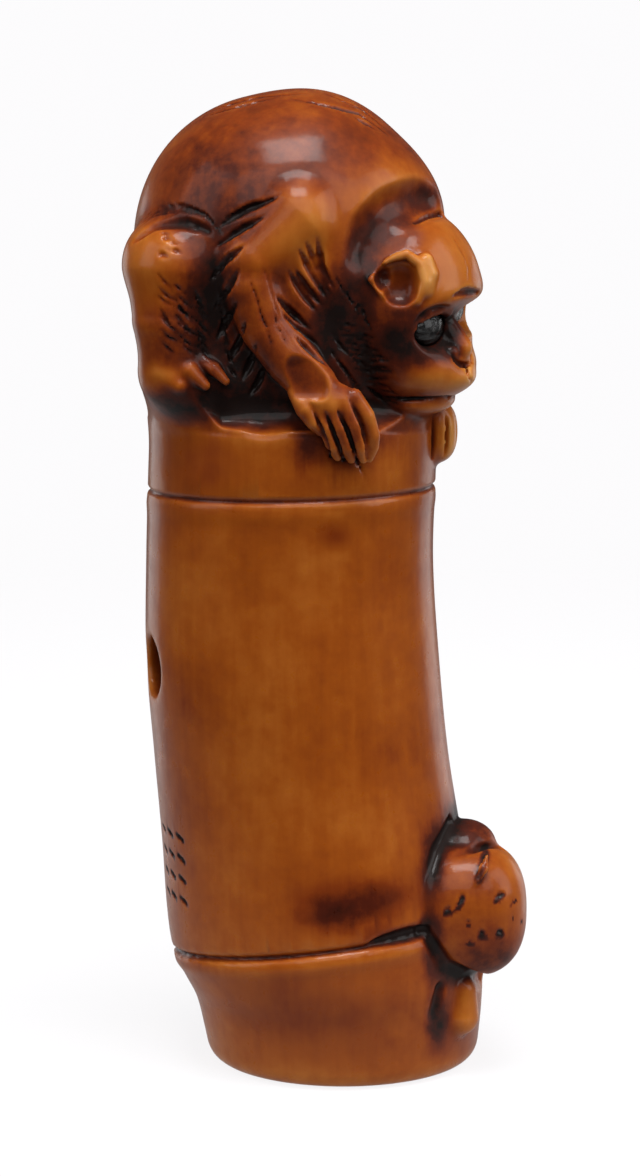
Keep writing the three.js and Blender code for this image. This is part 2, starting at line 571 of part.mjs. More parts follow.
async function carvingGeometry() {
  const rough = polygonise(carving, FIELD_LOW, FIELD_HIGH, GRID_STEP);
  const solid = toSolid(await simplified(rough, CARVING_TRIANGLES));
  // The largest body alone: small voids between overlapping forms are filled.
  const [whole] = solid.decompose().sort((a, b) => b.volume() - a.volume());
  return toGeometry(whole);
}

// ---------------------------------------------------------------- the object

function part(name, geometry, colour, roughness) {
  const material = new THREE.MeshStandardMaterial({ color: colour, roughness, metalness: 0 });
  const mesh = new THREE.Mesh(geometry, material);
  mesh.name = name;
  return mesh;
}

const group = new THREE.Group();
group.add(part('netsuke', await carvingGeometry(), CARVING_COLOUR, 0.35));
group.add(part('eye_right', eyeBall(1), EYE_COLOUR, 0.12));
group.add(part('eye_left', eyeBall(-1), EYE_COLOUR, 0.12));

export default group;
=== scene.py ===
"""Netsuke: a monkey crouching on a section of bamboo, with a small spotted animal low on its side.

The carving is sculpted as a block of clay, a grid of signed distances in millimetres, from the same named
forms as the solid it stands for, and then engraved, stained, given painted shade and painted highlights, and
polished. The frame's +Z is up, -Y is the side where the monkey's right arm shows, and its underside is
centred on the origin.
"""
import functools
import math

import bpy
import numpy as np
from mathutils import Matrix, Vector


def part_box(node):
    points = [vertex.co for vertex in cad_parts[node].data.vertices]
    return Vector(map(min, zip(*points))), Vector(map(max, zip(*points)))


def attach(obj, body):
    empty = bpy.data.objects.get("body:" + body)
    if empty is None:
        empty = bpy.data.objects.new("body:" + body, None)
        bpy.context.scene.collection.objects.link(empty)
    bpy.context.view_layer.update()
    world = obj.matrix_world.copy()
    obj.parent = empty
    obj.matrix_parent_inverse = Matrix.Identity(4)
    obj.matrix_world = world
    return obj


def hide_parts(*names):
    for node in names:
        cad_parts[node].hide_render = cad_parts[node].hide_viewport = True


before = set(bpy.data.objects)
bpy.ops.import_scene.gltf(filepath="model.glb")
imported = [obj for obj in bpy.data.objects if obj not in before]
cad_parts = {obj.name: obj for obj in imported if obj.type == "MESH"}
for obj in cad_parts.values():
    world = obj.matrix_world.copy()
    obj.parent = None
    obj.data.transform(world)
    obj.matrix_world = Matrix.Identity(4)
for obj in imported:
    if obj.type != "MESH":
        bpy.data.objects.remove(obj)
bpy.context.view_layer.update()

MM = 0.001
SEED = 11

# ---- sizes, in millimetres

# The clay's grid: fine at the monkey, coarser round the small animal and in the plain middle.
GRID = 0.125
GRID_LOW = 0.17
GRID_PLAIN = 0.4
# The clay's block along X, Y and Z, as stretches (start, end, step).
BLOCK = ([(-14.5, 11.9, GRID)], [(-10.9, 9.9, GRID)],
         [(-0.51, 16, GRID_LOW), (16, 33.5, GRID_PLAIN), (33.5, 59.6, GRID)])
EMPTY = 9
TRIANGLES = 196000

# The section of bamboo: height, left edge and right edge of each station.
BAMBOO_STATIONS = [
    (-1.2, -7.9, 7.6), (0, -8.2, 7.9), (2, -8.6, 8.15), (4, -9.1, 8.3), (5.5, -9.85, 8.3),
    (7, -10.5, 8.1), (9.5, -10.85, 7.7), (13.5, -11.1, 7.05), (19, -11.55, 6.15), (25, -12.0, 5.55),
    (31, -11.95, 5.17), (36, -11.8, 5.3), (41, -11.6, 5.4),
]
BAMBOO_DEPTH_RATIO = 0.965
UNDERSIDE_ROUNDING = 1.2

# Joint rings, each in a tilted plane: height on the axis, rise along X, rise along Y.
UPPER_RING = dict(height=35.41, slopes=(0.0175, -0.041), groove=(0.24, 0.22), lip=(0.05, 0.8))
LOWER_RING = dict(height=8.18, slopes=(0.122, -0.09), groove=(0.4, 0.26), lip=(0.14, 0.8))

# The open top of the bamboo: heights of its broken rim along X.
TOP_FLOOR = 39.3
CHIN_MOUND = ((3.4, -3.6), (3.0, 2.7), 1.5)
RIM_WALL = 1.0
RIM_STATIONS = [(-13, 40.9), (-8.8, 40.7), (-7.9, 40.2), (-7.3, 39.8), (-5.5, 39.7), (-2.0, 39.8),
                (1.2, 39.7), (2.4, 39.3), (7.0, 38.6)]

# Marks that hold black, as lines of (x, z) seen from the front, with a radius.
ANIMAL_MARKS = [
    ([(7.85, 12.65), (8.1, 13.2), (8.35, 13.85)], 0.22), ([(6.8, 11.2), (6.95, 11.55)], 0.15),
    ([(5.9, 10.7), (6.15, 10.75)], 0.14), ([(6.5, 10.85), (6.65, 11)], 0.12),
    ([(8.9, 11.35), (9.35, 11.65)], 0.14), ([(9.75, 11), (10.2, 11.2)], 0.06),
    ([(8.05, 9.3), (8.15, 9.25)], 0.22), ([(9.1, 9.35), (9.25, 9.3)], 0.2),
    ([(7.25, 9.95), (7.3, 9.9)], 0.11), ([(7.35, 8.85), (7.4, 8.8)], 0.11),
    ([(9.9, 10.2), (9.95, 10.15)], 0.07), ([(6.7, 8.1), (6.75, 8.05)], 0.06),
    ([(10.5, 9.8), (10.55, 9.75)], 0.06),
]
# A plain block of slanted dashes stands in for an inscription at the left edge: (y, z) of its first dash,
# the steps to the next dash and row, and the run of one dash.
DASHES_FROM = (-1.9, 14.9)
DASH_ROWS, DASHES_IN_ROW = 4, 3
DASH_STEP, DASH_ROW_STEP = -1.15, -1.3
DASH_RUN = (-0.6, -0.28)
DASH_RADIUS = 0.11

# The head's own frame: forward, towards the near side, up.
HEAD_ORIGIN = (3.6, -2.9, 46)
HEAD_TURN = math.radians(28)
EYE_PLACE = (2.25, 1.95, -0.12)
EYE_ROLL = 0.3
FAR_EYE_BACK = 0.6
EYE_RADII = (0.75, 1.5, 1.05)
EYE_GAP = 0.06

# The direction in which the near side is looked at and engraved.
SIGHT = (0, 0.983, -0.182)
FROM_LEFT = (1, 0, 0)
# An engraved line is laid on the clay at places this far apart, and is broken where they land further apart.
GROOVE_STEP = 0.35
GROOVE_BREAK = 1.2


# ---- clay

def smooth_min(a, b, width):
    h = np.maximum(width - np.abs(a - b), 0) / width
    return np.minimum(a, b) - h * h * width * 0.25


class Place:
    """Points given by three arrays, which may be broadcast against each other."""

    def __init__(self, x, y, z):
        self.x, self.y, self.z = x, y, z

    def in_head(self):
        dx = self.x - HEAD_ORIGIN[0]
        dy = self.y - HEAD_ORIGIN[1]
        c, s = math.cos(HEAD_TURN), math.sin(HEAD_TURN)
        return Place(dx * c - dy * s, -dx * s - dy * c, self.z - HEAD_ORIGIN[2])


def head_to_world(point):
    forward, side, up = point
    c, s = math.cos(HEAD_TURN), math.sin(HEAD_TURN)
    return (HEAD_ORIGIN[0] + forward * c - side * s, HEAD_ORIGIN[1] - forward * s - side * c,
            HEAD_ORIGIN[2] + up)


class Lump:
    """An ellipsoid; a power above 2 makes it boxier. On the head, its place is in the head's frame."""

    def __init__(self, centre, radii, power=2, on_head=False):
        self.centre, self.radii, self.power, self.on_head = centre, radii, power, on_head

    def box(self):
        centre = head_to_world(self.centre) if self.on_head else self.centre
        reach = [max(self.radii[:2])] * 2 + [self.radii[2]] if self.on_head else self.radii
        return [c - r for c, r in zip(centre, reach)], [c + r for c, r in zip(centre, reach)]

    def distance(self, place):
        p = place.in_head() if self.on_head else place
        u = np.abs(p.x - self.centre[0]) / self.radii[0]
        v = np.abs(p.y - self.centre[1]) / self.radii[1]
        w = np.abs(p.z - self.centre[2]) / self.radii[2]
        if self.power == 2:
            size = np.sqrt(u * u + v * v + w * w) + 1e-6
            steep = np.sqrt((u / self.radii[0]) ** 2 + (v / self.radii[1]) ** 2
                            + (w / self.radii[2]) ** 2) / size + 1e-6
        else:
            n = self.power
            size = (u ** n + v ** n + w ** n) ** (1 / n) + 1e-6
            steep = np.sqrt((u ** (n - 1) / self.radii[0]) ** 2 + (v ** (n - 1) / self.radii[1]) ** 2
                            + (w ** (n - 1) / self.radii[2]) ** 2) * size ** (1 - n) + 1e-6
        return (size - 1) / steep


class Limb:
    """A chain of tapered round-ended stretches through joints (x, y, z, radius)."""

    def __init__(self, joints, on_head=False):
        self.joints, self.on_head = joints, on_head

    def box(self):
        places = [head_to_world(j[:3]) if self.on_head else j[:3] for j in self.joints]
        reach = max(j[3] for j in self.joints)
        return ([min(p[i] for p in places) - reach for i in range(3)],
                [max(p[i] for p in places) + reach for i in range(3)])

    def distance(self, place):
        p = place.in_head() if self.on_head else place
        nearest = None
        for a, b in zip(self.joints[:-1], self.joints[1:]):
            along = [b[i] - a[i] for i in range(3)]
            away = [q - a[i] for i, q in enumerate((p.x, p.y, p.z))]
            square = sum(v * v for v in along)
            t = np.clip((away[0] * along[0] + away[1] * along[1] + away[2] * along[2]) / square, 0, 1)
            reach = np.sqrt(sum((away[i] - along[i] * t) ** 2 for i in range(3)))
            d = reach - (a[3] + (b[3] - a[3]) * t)
            nearest = d if nearest is None else np.minimum(nearest, d)
        return nearest


class Clay:
    """Signed distances on a grid with its own spacing along each axis: negative inside."""

    def __init__(self, xs, ys, zs):
        self.axes = [np.asarray(a, np.float32) for a in (xs, ys, zs)]
        self.value = np.full([len(a) for a in self.axes], EMPTY, np.float32)

    def window(self, low, high, margin):
        region = []
        for axis, lowest, highest in zip(self.axes, low, high):
            first = max(int(np.searchsorted(axis, lowest - margin)) - 1, 0)
            region.append(slice(first, int(np.searchsorted(axis, highest + margin)) + 1))
        x, y, z = (axis[s] for axis, s in zip(self.axes, region))
        return tuple(region), Place(x[:, None, None], y[None, :, None], z[None, None, :])

    def add(self, shape, width, sign=1):
        """Joins a shape on, blended over a width; with sign -1 it is cut away."""
        region, place = self.window(*shape.box(), width + 0.2)
        if min(self.value[region].shape) > 0:
            self.value[region] = sign * smooth_min(sign * self.value[region], shape.distance(place), width)

    def cut(self, shape, width):
        self.add(shape, width, sign=-1)

    def at(self, points):
        """The value at points (n, 3), between the grid's own."""
        low, part = [], []
        for i, axis in enumerate(self.axes):
            index = np.interp(points[:, i], axis, np.arange(len(axis)))
            first = np.minimum(index.astype(np.int64), len(axis) - 2)
            low.append(first)
            part.append(index - first)
        total = 0
        for corner in range(8):
            bits = [(corner >> i) & 1 for i in range(3)]
            weight = 1
            for i in range(3):
                weight = weight * (part[i] if bits[i] else 1 - part[i])
            total = total + weight * self.value[low[0] + bits[0], low[1] + bits[1], low[2] + bits[2]]
        return total

    def slope(self, points, reach):
        """The field's gradient at points, measured over a reach to each side."""
        rises = [self.at(points + step) - self.at(points - step) for step in np.eye(3) * reach]
        return np.stack(rises, axis=1) / (2 * reach)

    def hit(self, seeds, towards, start=30, travel=60, step=0.1):
        """Where rays through the seeds, coming from far along -towards, first meet the clay."""
        seeds = np.asarray(seeds, float)
        towards = np.asarray(towards, float) / np.linalg.norm(towards)
        t = np.arange(0, travel, step)
        points = (seeds - towards * start)[:, None, :] + towards * t[None, :, None]
        inside = self.at(points.reshape(-1, 3)).reshape(len(seeds), -1) < 0
        first = np.where(inside.any(axis=1), inside.argmax(axis=1), 0)
        return points[np.arange(len(seeds)), first]


# ---- the bamboo

def station_curve(z, side):
    """One edge of the bamboo at heights z: a smooth curve through the stations."""
    heights = np.array([s[0] for s in BAMBOO_STATIONS])
    values = np.array([s[side] for s in BAMBOO_STATIONS])
    i = np.clip(np.searchsorted(heights, z), 1, len(heights) - 1)
    before, after = np.maximum(i - 2, 0), np.minimum(i + 1, len(heights) - 1)
    span = heights[i] - heights[i - 1]
    t = np.clip((z - heights[i - 1]) / span, 0, 1)
    slope_from = (values[i] - values[before]) / (heights[i] - heights[before]) * span
    slope_to = (values[after] - values[i - 1]) / (heights[after] - heights[i - 1]) * span
    return (values[i - 1] * (1 + 2 * t) * (1 - t) ** 2 + slope_from * t * (1 - t) ** 2
            + values[i] * t * t * (3 - 2 * t) + slope_to * t * t * (t - 1))


def above_ring(place, ring):
    """How far a place lies above a ring's tilted plane."""
    along, across = ring["slopes"]
    return place.z - ring["height"] - along * place.x - across * place.y


def ring_relief(place, ring):
    """A V-shaped groove with a rounded lip under it."""
    above = above_ring(place, ring)
    (groove_depth, groove_width), (lip_height, lip_drop) = ring["groove"], ring["lip"]
    groove = groove_depth * np.maximum(0, 1 - np.abs(above) / groove_width)
    lip = lip_height * np.exp(-((above + lip_drop) / (lip_drop * 0.6)) ** 2)
    return groove - lip


def rim_height(x):
    return np.interp(x, *zip(*RIM_STATIONS))


def floor_height(place):
    """The top of the plug inside the rim, which swells up under the monkey's chin."""
    (x, y), (along, across), rise = CHIN_MOUND
    return TOP_FLOOR + rise * np.exp(-((place.x - x) / along) ** 2 - ((place.y - y) / across) ** 2)


def carve_bamboo(clay):
    region, place = clay.window((-99, -99, -99), (99, 99, RIM_STATIONS[0][1] + 1), 0)
    left = station_curve(place.z, 1)
    right = station_curve(place.z, 2)
    u = place.x - (left + right) / 2
    side = np.sqrt(u * u + (place.y / BAMBOO_DEPTH_RATIO) ** 2) - (right - left) / 2
    section = np.maximum(side, place.z - floor_height(place))
    wall = np.maximum(np.maximum(side, -side - RIM_WALL), place.z - rim_height(place.x))
    body = smooth_min(section, wall, 0.3)
    for ring in (UPPER_RING, LOWER_RING):
        body = body + ring_relief(place, ring)
    clay.value[region] = -smooth_min(-body, place.z + 0 * body, UNDERSIDE_ROUNDING)


# ---- the monkey

def carve_trunk(clay):
    clay.add(Lump((-3.5, 0.2, 49.5), (9.15, 8.3, 9.3), power=2.15), 0.4)
    clay.add(Lump((-2.3, 0, 53.2), (5.2, 5.4, 5.5)), 1.2)
    clay.add(Lump((0, -0.6, 51.6), (5.55, 6.2, 4.6)), 1.2)
    clay.add(Lump((-3.6, 0.2, 42.6), (7.7, 7.1, 6.4)), 2.4)
    clay.cut(Limb([(-8, -9.3, 50.6, 0.9), (-8.1, -9.2, 48.6, 1.7), (-7.7, -8.9, 46.2, 2.1),
                   (-6.6, -8.9, 43.6, 2.4), (-5, -9, 41.4, 1.9)]), 0.7)
    clay.cut(Limb([(-1.6, -9.6, 49.2, 0.9), (-1.4, -9.5, 47.2, 1.9), (0.3, -9.2, 44.8, 2.3),
                   (1.9, -9.2, 42.4, 1.8)]), 0.6)


def carve_near_leg(clay):
    clay.add(Lump((-9.85, -3.9, 49.3), (3.2, 3.7, 2.9)), 0.8)
    clay.add(Limb([(-9.95, -4.6, 48.6, 2.95), (-10.15, -5, 46, 2.4), (-10, -4.9, 43.4, 2.05)]), 0.8)
    clay.add(Lump((-8.9, -3.4, 42.1), (2.9, 3.2, 1.8)), 2)
    toes = [
        [(-11.5, -5.3, 42.8, 0.38), (-10.6, -6.2, 43.05, 0.62), (-9.7, -6.9, 42.3, 0.4)],
        [(-10, -6.3, 43.6, 0.3), (-9.1, -6.85, 43.2, 0.46), (-8.2, -7.2, 42.35, 0.28)],
        [(-8.5, -6.5, 43.8, 0.26), (-7.7, -6.95, 43.3, 0.38), (-7, -7.25, 42.6, 0.24)],
    ]
    for toe in toes:
        clay.add(Limb(toe), 0.3)


def carve_far_limbs(clay):
    clay.add(Limb([(-1.8, 5.4, 51.6, 2.9), (1.4, 6.2, 47.2, 2.2), (3.6, 4.6, 43.4, 1.8),
                   (4.9, 1.6, 40.6, 1.35)]), 0.8)
    clay.add(Lump((5.25, -0.6, 38.75), (1.4, 1.7, 1.9), power=2.4), 0.5)
    for x, y in ((5.15, -2.35), (5.95, -1.95), (6.6, -1.1)):
        gap = [(x, y, 39.9, 0.1), (x, y - 0.05, 38.6, 0.16), (x - 0.05, y + 0.1, 37.4, 0.12)]
        clay.cut(Limb(gap), 0.08)
    clay.add(Lump((-9.1, 4.2, 48.6), (3.2, 3.3, 2.9)), 0.8)
    clay.add(Limb([(-9.2, 4.8, 47.8, 2.7), (-9.3, 5.3, 45.2, 2.2), (-9.2, 5.2, 43, 1.8)]), 0.8)
    clay.add(Lump((-9, 4.4, 41.3), (2.7, 3.7, 1.5)), 1)
    toes = [((-10.6, 5.6), (-9.6, 7.4)), ((-9.4, 6.2), (-8.2, 7.9)), ((-8.2, 6.6), (-6.8, 7.9))]
    for start, end in toes:
        clay.add(Limb([(*start, 43.2, 0.55), (*end, 42, 0.45)]), 0.2)


def eye_centre(near):
    """An eye's centre in the head's frame. The head leans: the near eye is the lower one."""
    back = 0 if near > 0 else FAR_EYE_BACK
    return (EYE_PLACE[0] - back, near * EYE_PLACE[1], EYE_PLACE[2] - near * EYE_ROLL)


def carve_head(clay):
    clay.add(Lump((-0.1, 0, 1.1), (4.45, 4.7, 5.3), on_head=True), 0.5)
    clay.add(Lump((0.7, 0, -2.5), (2.8, 3.8, 2.8), on_head=True), 1.4)
    clay.add(Lump((2.5, 0, 1.6), (1.35, 2.8, 0.8), on_head=True), 0.8)
    clay.cut(Lump((5.1, 0, -0.75), (2.35, 3.7, 1.8), power=2.3, on_head=True), 1.2)
    for near in (1, -1):
        forward, side, up = eye_centre(near)
        clay.cut(Lump((forward + 1, side + near * 0.55, up), (1.3, 1.85, 1.4), on_head=True), 0.3)
        lid = [(forward - 0.1, side + near * 1.5, up + 0.1, 0.25),
               (forward + 0.45, side + near * 0.8, up + 0.95, 0.34),
               (forward + 0.75, side - near * 0.2, up + 1.15, 0.36),
               (forward + 0.8, side - near, up + 0.85, 0.3)]
        clay.add(Limb(lid, on_head=True), 0.3)
    clay.add(Lump((1.9, 0, -3.05), (2.05, 3.2, 1.75), on_head=True), 0.6)
    clay.add(Lump((2.5, 0, -3.45), (1.75, 1.8, 0.95), on_head=True), 0.5)
    clay.add(Lump((1.1, 0, -5), (1.6, 2.6, 0.85), on_head=True), 0.3)
    nose = [(2.25, 0, 0.6, 0.65), (2.45, 0, -0.3, 0.6), (3.05, 0, -1.1, 0.66), (3.45, 0, -1.75, 0.72)]
    clay.add(Limb(nose, on_head=True), 0.3)
    for near in (1, -1):
        clay.add(Lump((3.1, near * 0.85, -1.95), (0.65, 0.52, 0.46), on_head=True), 0.15)
        clay.cut(Lump(eye_centre(near), [r + EYE_GAP for r in EYE_RADII], on_head=True), 0.05)
    far_nostril = [(3.7, -1.1, -2.2, 0.14), (3.9, -0.7, -2.6, 0.2)]
    under_nose = [(4.1, 0.6, -2.62, 0.24), (4.2, -0.6, -2.62, 0.26)]
    far_mouth = [(3.1, -1.2, -4.42, 0.26), (2.4, -2.3, -4.5, 0.26), (1.4, -3.1, -4.55, 0.2)]
    for groove in (far_nostril, under_nose, far_mouth):
        clay.cut(Limb(groove, on_head=True), 0.1)
    engrave(clay, [(6.1, 43.8), (6.35, 43.45), (6.7, 43.2), (7.1, 43.35)], [0.07, 0.2, 0.25, 0.15],
            y=-5, depth=0.4)
    engrave(clay, [(6.9, 43.1), (7.12, 42.65), (7.3, 42.25)], [0.16, 0.12, 0.05], y=-5)
    engrave(clay, [(2, 41.55), (3.3, 41.4), (4.6, 41.45), (5.8, 41.55), (7.1, 41.65)],
            [0.06, 0.13, 0.15, 0.17, 0.15], y=-5.8, depth=0.2)
    engrave(clay, [(6.05, 47.15), (6.5, 47.38), (6.95, 47.53), (7.7, 47.6)], [0.04, 0.24, 0.28, 0.16],
            y=-5, depth=0.15)
    carve_near_ear(clay)
    clay.add(Lump((-0.8, -4.25, 2.55), (1.7, 1, 1.7), on_head=True), 0.3)
    clay.cut(Lump((-0.95, -5.2, 2.5), (1.25, 1, 1.25), on_head=True), 0.15)


def carve_near_ear(clay):
    rim = [(1.4, -7.3, 48.55, 0.22), (2.2, -7.15, 49.65, 0.25), (3.45, -7.1, 50, 0.27),
           (4.25, -7.15, 49.4, 0.34), (4.5, -7.35, 48.4, 0.34), (4.1, -7.45, 47.3, 0.22),
           (3, -7.2, 47, 0.1), (2, -7.3, 47.7, 0.16), (1.4, -7.3, 48.55, 0.2)]
    clay.add(Limb(rim), 0.2)
    clay.add(Limb([(4.55, -6.85, 49.6, 0.42), (4.75, -6.95, 48.8, 0.5), (4.6, -7.15, 47.9, 0.4)]), 0.25)
    clay.cut(Lump((3.05, -7.95, 48.35), (1.1, 1.35, 1.4), power=2.4), 0.08)
    clay.cut(Lump((2.25, -7.75, 48.6), (0.75, 1.2, 0.85)), 0.08)


def carve_neck(clay):
    """The dark hollow band behind the crown, and the slit under its ridge."""
    engrave(clay, [(1, 49.4), (1.7, 51), (3, 52.5), (4.6, 53.3), (5.7, 53.2)],
            [0.5, 0.9, 0.95, 0.8, 0.6], y=-5.5, soft=1, depth=-0.95)
    engrave(clay, [(3.9, 51.6), (4.8, 52.2), (5.5, 52.4), (6.2, 52.45)], [0.1, 0.22, 0.26, 0.26], y=-5.5)


def carve_near_arm(clay):
    clay.add(Limb([(-2.9, -5.7, 51.8, 2.9), (-5.3, -6.5, 49.6, 2.3), (-5.4, -6.9, 48.2, 1.95),
                   (-4.6, -7.3, 45.8, 1.6), (-3.2, -7.7, 43.9, 1.5), (-1.9, -8.05, 42.5, 1.35)]), 0.4)
    clay.add(Lump((-0.9, -8.3, 41.5), (1.6, 1, 1.2)), 0.4)
    fingers = [
        [(-2.9, -8.5, 42.2, 0.55), (-2.45, -8.75, 41.2, 0.55), (-1.95, -8.75, 40.4, 0.42),
         (-1.6, -8.6, 39.8, 0.2)],
        [(-1.6, -8.6, 41.3, 0.5), (-1.2, -8.75, 40.1, 0.46), (-0.8, -8.6, 39, 0.42),
         (-0.55, -8.35, 38.35, 0.26)],
        [(-0.9, -8.75, 41.5, 0.5), (-0.42, -8.85, 40.1, 0.48), (0, -8.6, 38.9, 0.42),
         (0.25, -8.3, 38.2, 0.26)],
        [(-0.2, -8.7, 41.7, 0.5), (0.38, -8.8, 40.3, 0.48), (0.78, -8.55, 38.9, 0.42),
         (0.95, -8.25, 38.2, 0.26)],
        [(0.4, -8.5, 41.9, 0.48), (1.15, -8.55, 40.8, 0.46), (1.5, -8.35, 39.6, 0.42),
         (1.5, -8.15, 38.9, 0.36), (1.3, -8, 38.2, 0.24)],
    ]
    for finger in fingers:
        clay.add(Limb(finger), 0.12)
    clay.cut(Lump((-2.3, -10.15, 43.1), (1.45, 1.3, 1.5), power=4), 0.06)
    between_fingers = [
        [(-1.9, 41.1), (-1.5, 40.2), (-1.15, 39.2), (-0.95, 38.6)],
        [(-1.25, 41.15), (-0.88, 40.2), (-0.4, 39), (-0.2, 38.4)],
        [(-0.65, 41.35), (0, 40.1), (0.45, 38.8), (0.6, 38.2)],
        [(0.15, 41.8), (0.75, 40.6), (1.1, 39.3), (1.15, 38.4)],
    ]
    for gap in between_fingers:
        engrave(clay, gap, [0.05, 0.17, 0.17, 0.12], depth=0.35, y=-9.4)


def carve_fur_edges(clay):
    """Wedges that widen into the hollows on both sides of the arm and leave its fur in pointed locks."""
    behind_arm = [
        [(-4, 53.3), (-5.7, 52.75), (-7.4, 51.7)], [(-4.7, 52.25), (-6.3, 51.4), (-7.6, 50.5)],
        [(-5.9, 50.5), (-7, 49.7), (-7.9, 48.6)], [(-6.2, 49.2), (-6.9, 48), (-7.7, 47)],
        [(-6.3, 47.3), (-6.9, 46.4), (-7.6, 45.2)], [(-5.8, 46.2), (-6.3, 45), (-6.9, 43.9)],
        [(-5.2, 44.9), (-5.6, 43.9), (-6.1, 42.8)], [(-4.75, 43.8), (-5.1, 42.8), (-5.7, 41.9)],
    ]
    before_arm = [
        [(-4.1, 47.6), (-3.2, 46.7), (-2.2, 45.8)], [(-3.4, 49.1), (-2.6, 47.9), (-1.8, 46.8)],
        [(-3, 49.2), (-2.4, 48.2), (-1.5, 47.2)], [(-2.8, 50.35), (-2, 48.9), (-1.2, 47.6)],
        [(-2.4, 50.75), (-1.6, 49), (-1, 47.8)], [(-1.75, 51), (-1.45, 49.2), (-0.8, 48.2)],
        [(-3.7, 46.6), (-2.7, 45.7), (-1.7, 44.8)], [(-3, 45.3), (-2.1, 44.4), (-1.2, 43.6)],
    ]
    for wedge in behind_arm + before_arm:
        engrave(clay, wedge, [0.03, 0.22, 0.2, 0.03], soft=0.12, depth=0.15)


def engrave(clay, line, radii, y=-8, soft=0.04, depth=0.3, from_left=False):
    """Cuts a groove where a line (x, z) at y falls on the clay along SIGHT, or a line (y, z) from the left.

    depth is how far the groove's centre sinks, as a share of its radius.
    """
    line = np.array(line, float)
    run = np.r_[0, np.cumsum(np.linalg.norm(np.diff(line, axis=0), axis=1))]
    count = max(2, math.ceil(run[-1] / GROOVE_STEP) + 1)
    places = np.linspace(0, run[-1], count)
    across = np.interp(places, run, line[:, 0])
    z = np.interp(places, run, line[:, 1])
    level = np.full(count, y)
    towards = FROM_LEFT if from_left else SIGHT
    seeds = (level, across, z) if from_left else (across, level, z)
    radius = np.interp(places, np.linspace(0, run[-1], len(radii)), radii)
    spots = clay.hit(np.stack(seeds, axis=1), towards)
    spots = spots + np.array(towards) * (radius * depth)[:, None]
    near = np.linalg.norm(np.diff(spots, axis=0), axis=1) < GROOVE_BREAK
    for first in range(count - 1):
        if near[first]:
            clay.cut(Limb([(*spots[first], radius[first]), (*spots[first + 1], radius[first + 1])]), soft)


# ---- engraved hair and creases

# Patches of combed hair, in the order they are drawn: rows (start, end, strokes), then the strokes' length,
# radius, lean (x, z), y and curl.
HAIR_PATCHES = [
    ([((-0.6, 46), (0.5, 43.2), 9), ((0.3, 45.6), (1.4, 42.4), 10), ((1.1, 44.6), (2.1, 41.9), 8)],
     1.15, 0.085, (1, -0.22), -7, 0.06),
    ([((0.8, 42.6), (2, 41.6), 5)], 1.3, 0.09, (1, -0.55), -7, 0.05),
    ([((-0.9, 48.9), (1.2, 46.4), 8)], 1.2, 0.08, (0.5, -1), -7, 0),
    ([((-10.9, 48.9), (-10.9, 44.9), 7), ((-10.1, 48.6), (-9.7, 44.6), 8)],
     1.5, 0.09, (0.85, -0.75), -6.8, -0.05),
    ([((-8.9, 48.3), (-8.7, 44.4), 7)], 1.3, 0.1, (0.75, -0.9), -7.2, 0),
    ([((-7.6, 47.6), (-6.9, 43.4), 7)], 1.1, 0.09, (0.6, -1), -7.5, 0),
    ([((-5.7, 48.9), (-4.6, 45.4), 5), ((-4.9, 49.6), (-3.9, 45.6), 5)],
     1.5, 0.05, (0.35, -1), -8, 0),
    ([((-6.6, 52.4), (-3.6, 53.4), 6)], 1.6, 0.06, (-0.9, -0.45), -7, 0),
]
# How a stroke varies: its place in its share of the row, its length and its turn.
HAIR_PLACE = (0.2, 0.8)
HAIR_LENGTH = (0.7, 1.25)
HAIR_TURN = 0.12


def comb(clay, rng, rows, length, radius, lean, y, curl):
    """Rows of short hair strokes, which lie along lean."""
    lean = np.array(lean, float) / np.hypot(*lean)
    across = np.array([-lean[1], lean[0]])
    for start, end, strokes in rows:
        for i in range(strokes):
            t = (i + rng.uniform(*HAIR_PLACE)) / strokes
            root = start + np.subtract(end, start) * t
            reach = length * rng.uniform(*HAIR_LENGTH)
            way = lean + across * rng.normal(0, HAIR_TURN)
            middle = root + way * reach * 0.5 + across * curl * reach
            engrave(clay, [root, middle, root + way * reach], [0.3 * radius, radius, 0.2 * radius], y=y)


def engrave_fur(clay):
    """Hair on the cheek, leg and arm."""
    rng = np.random.default_rng(SEED)
    for patch in HAIR_PATCHES:
        comb(clay, rng, *patch)


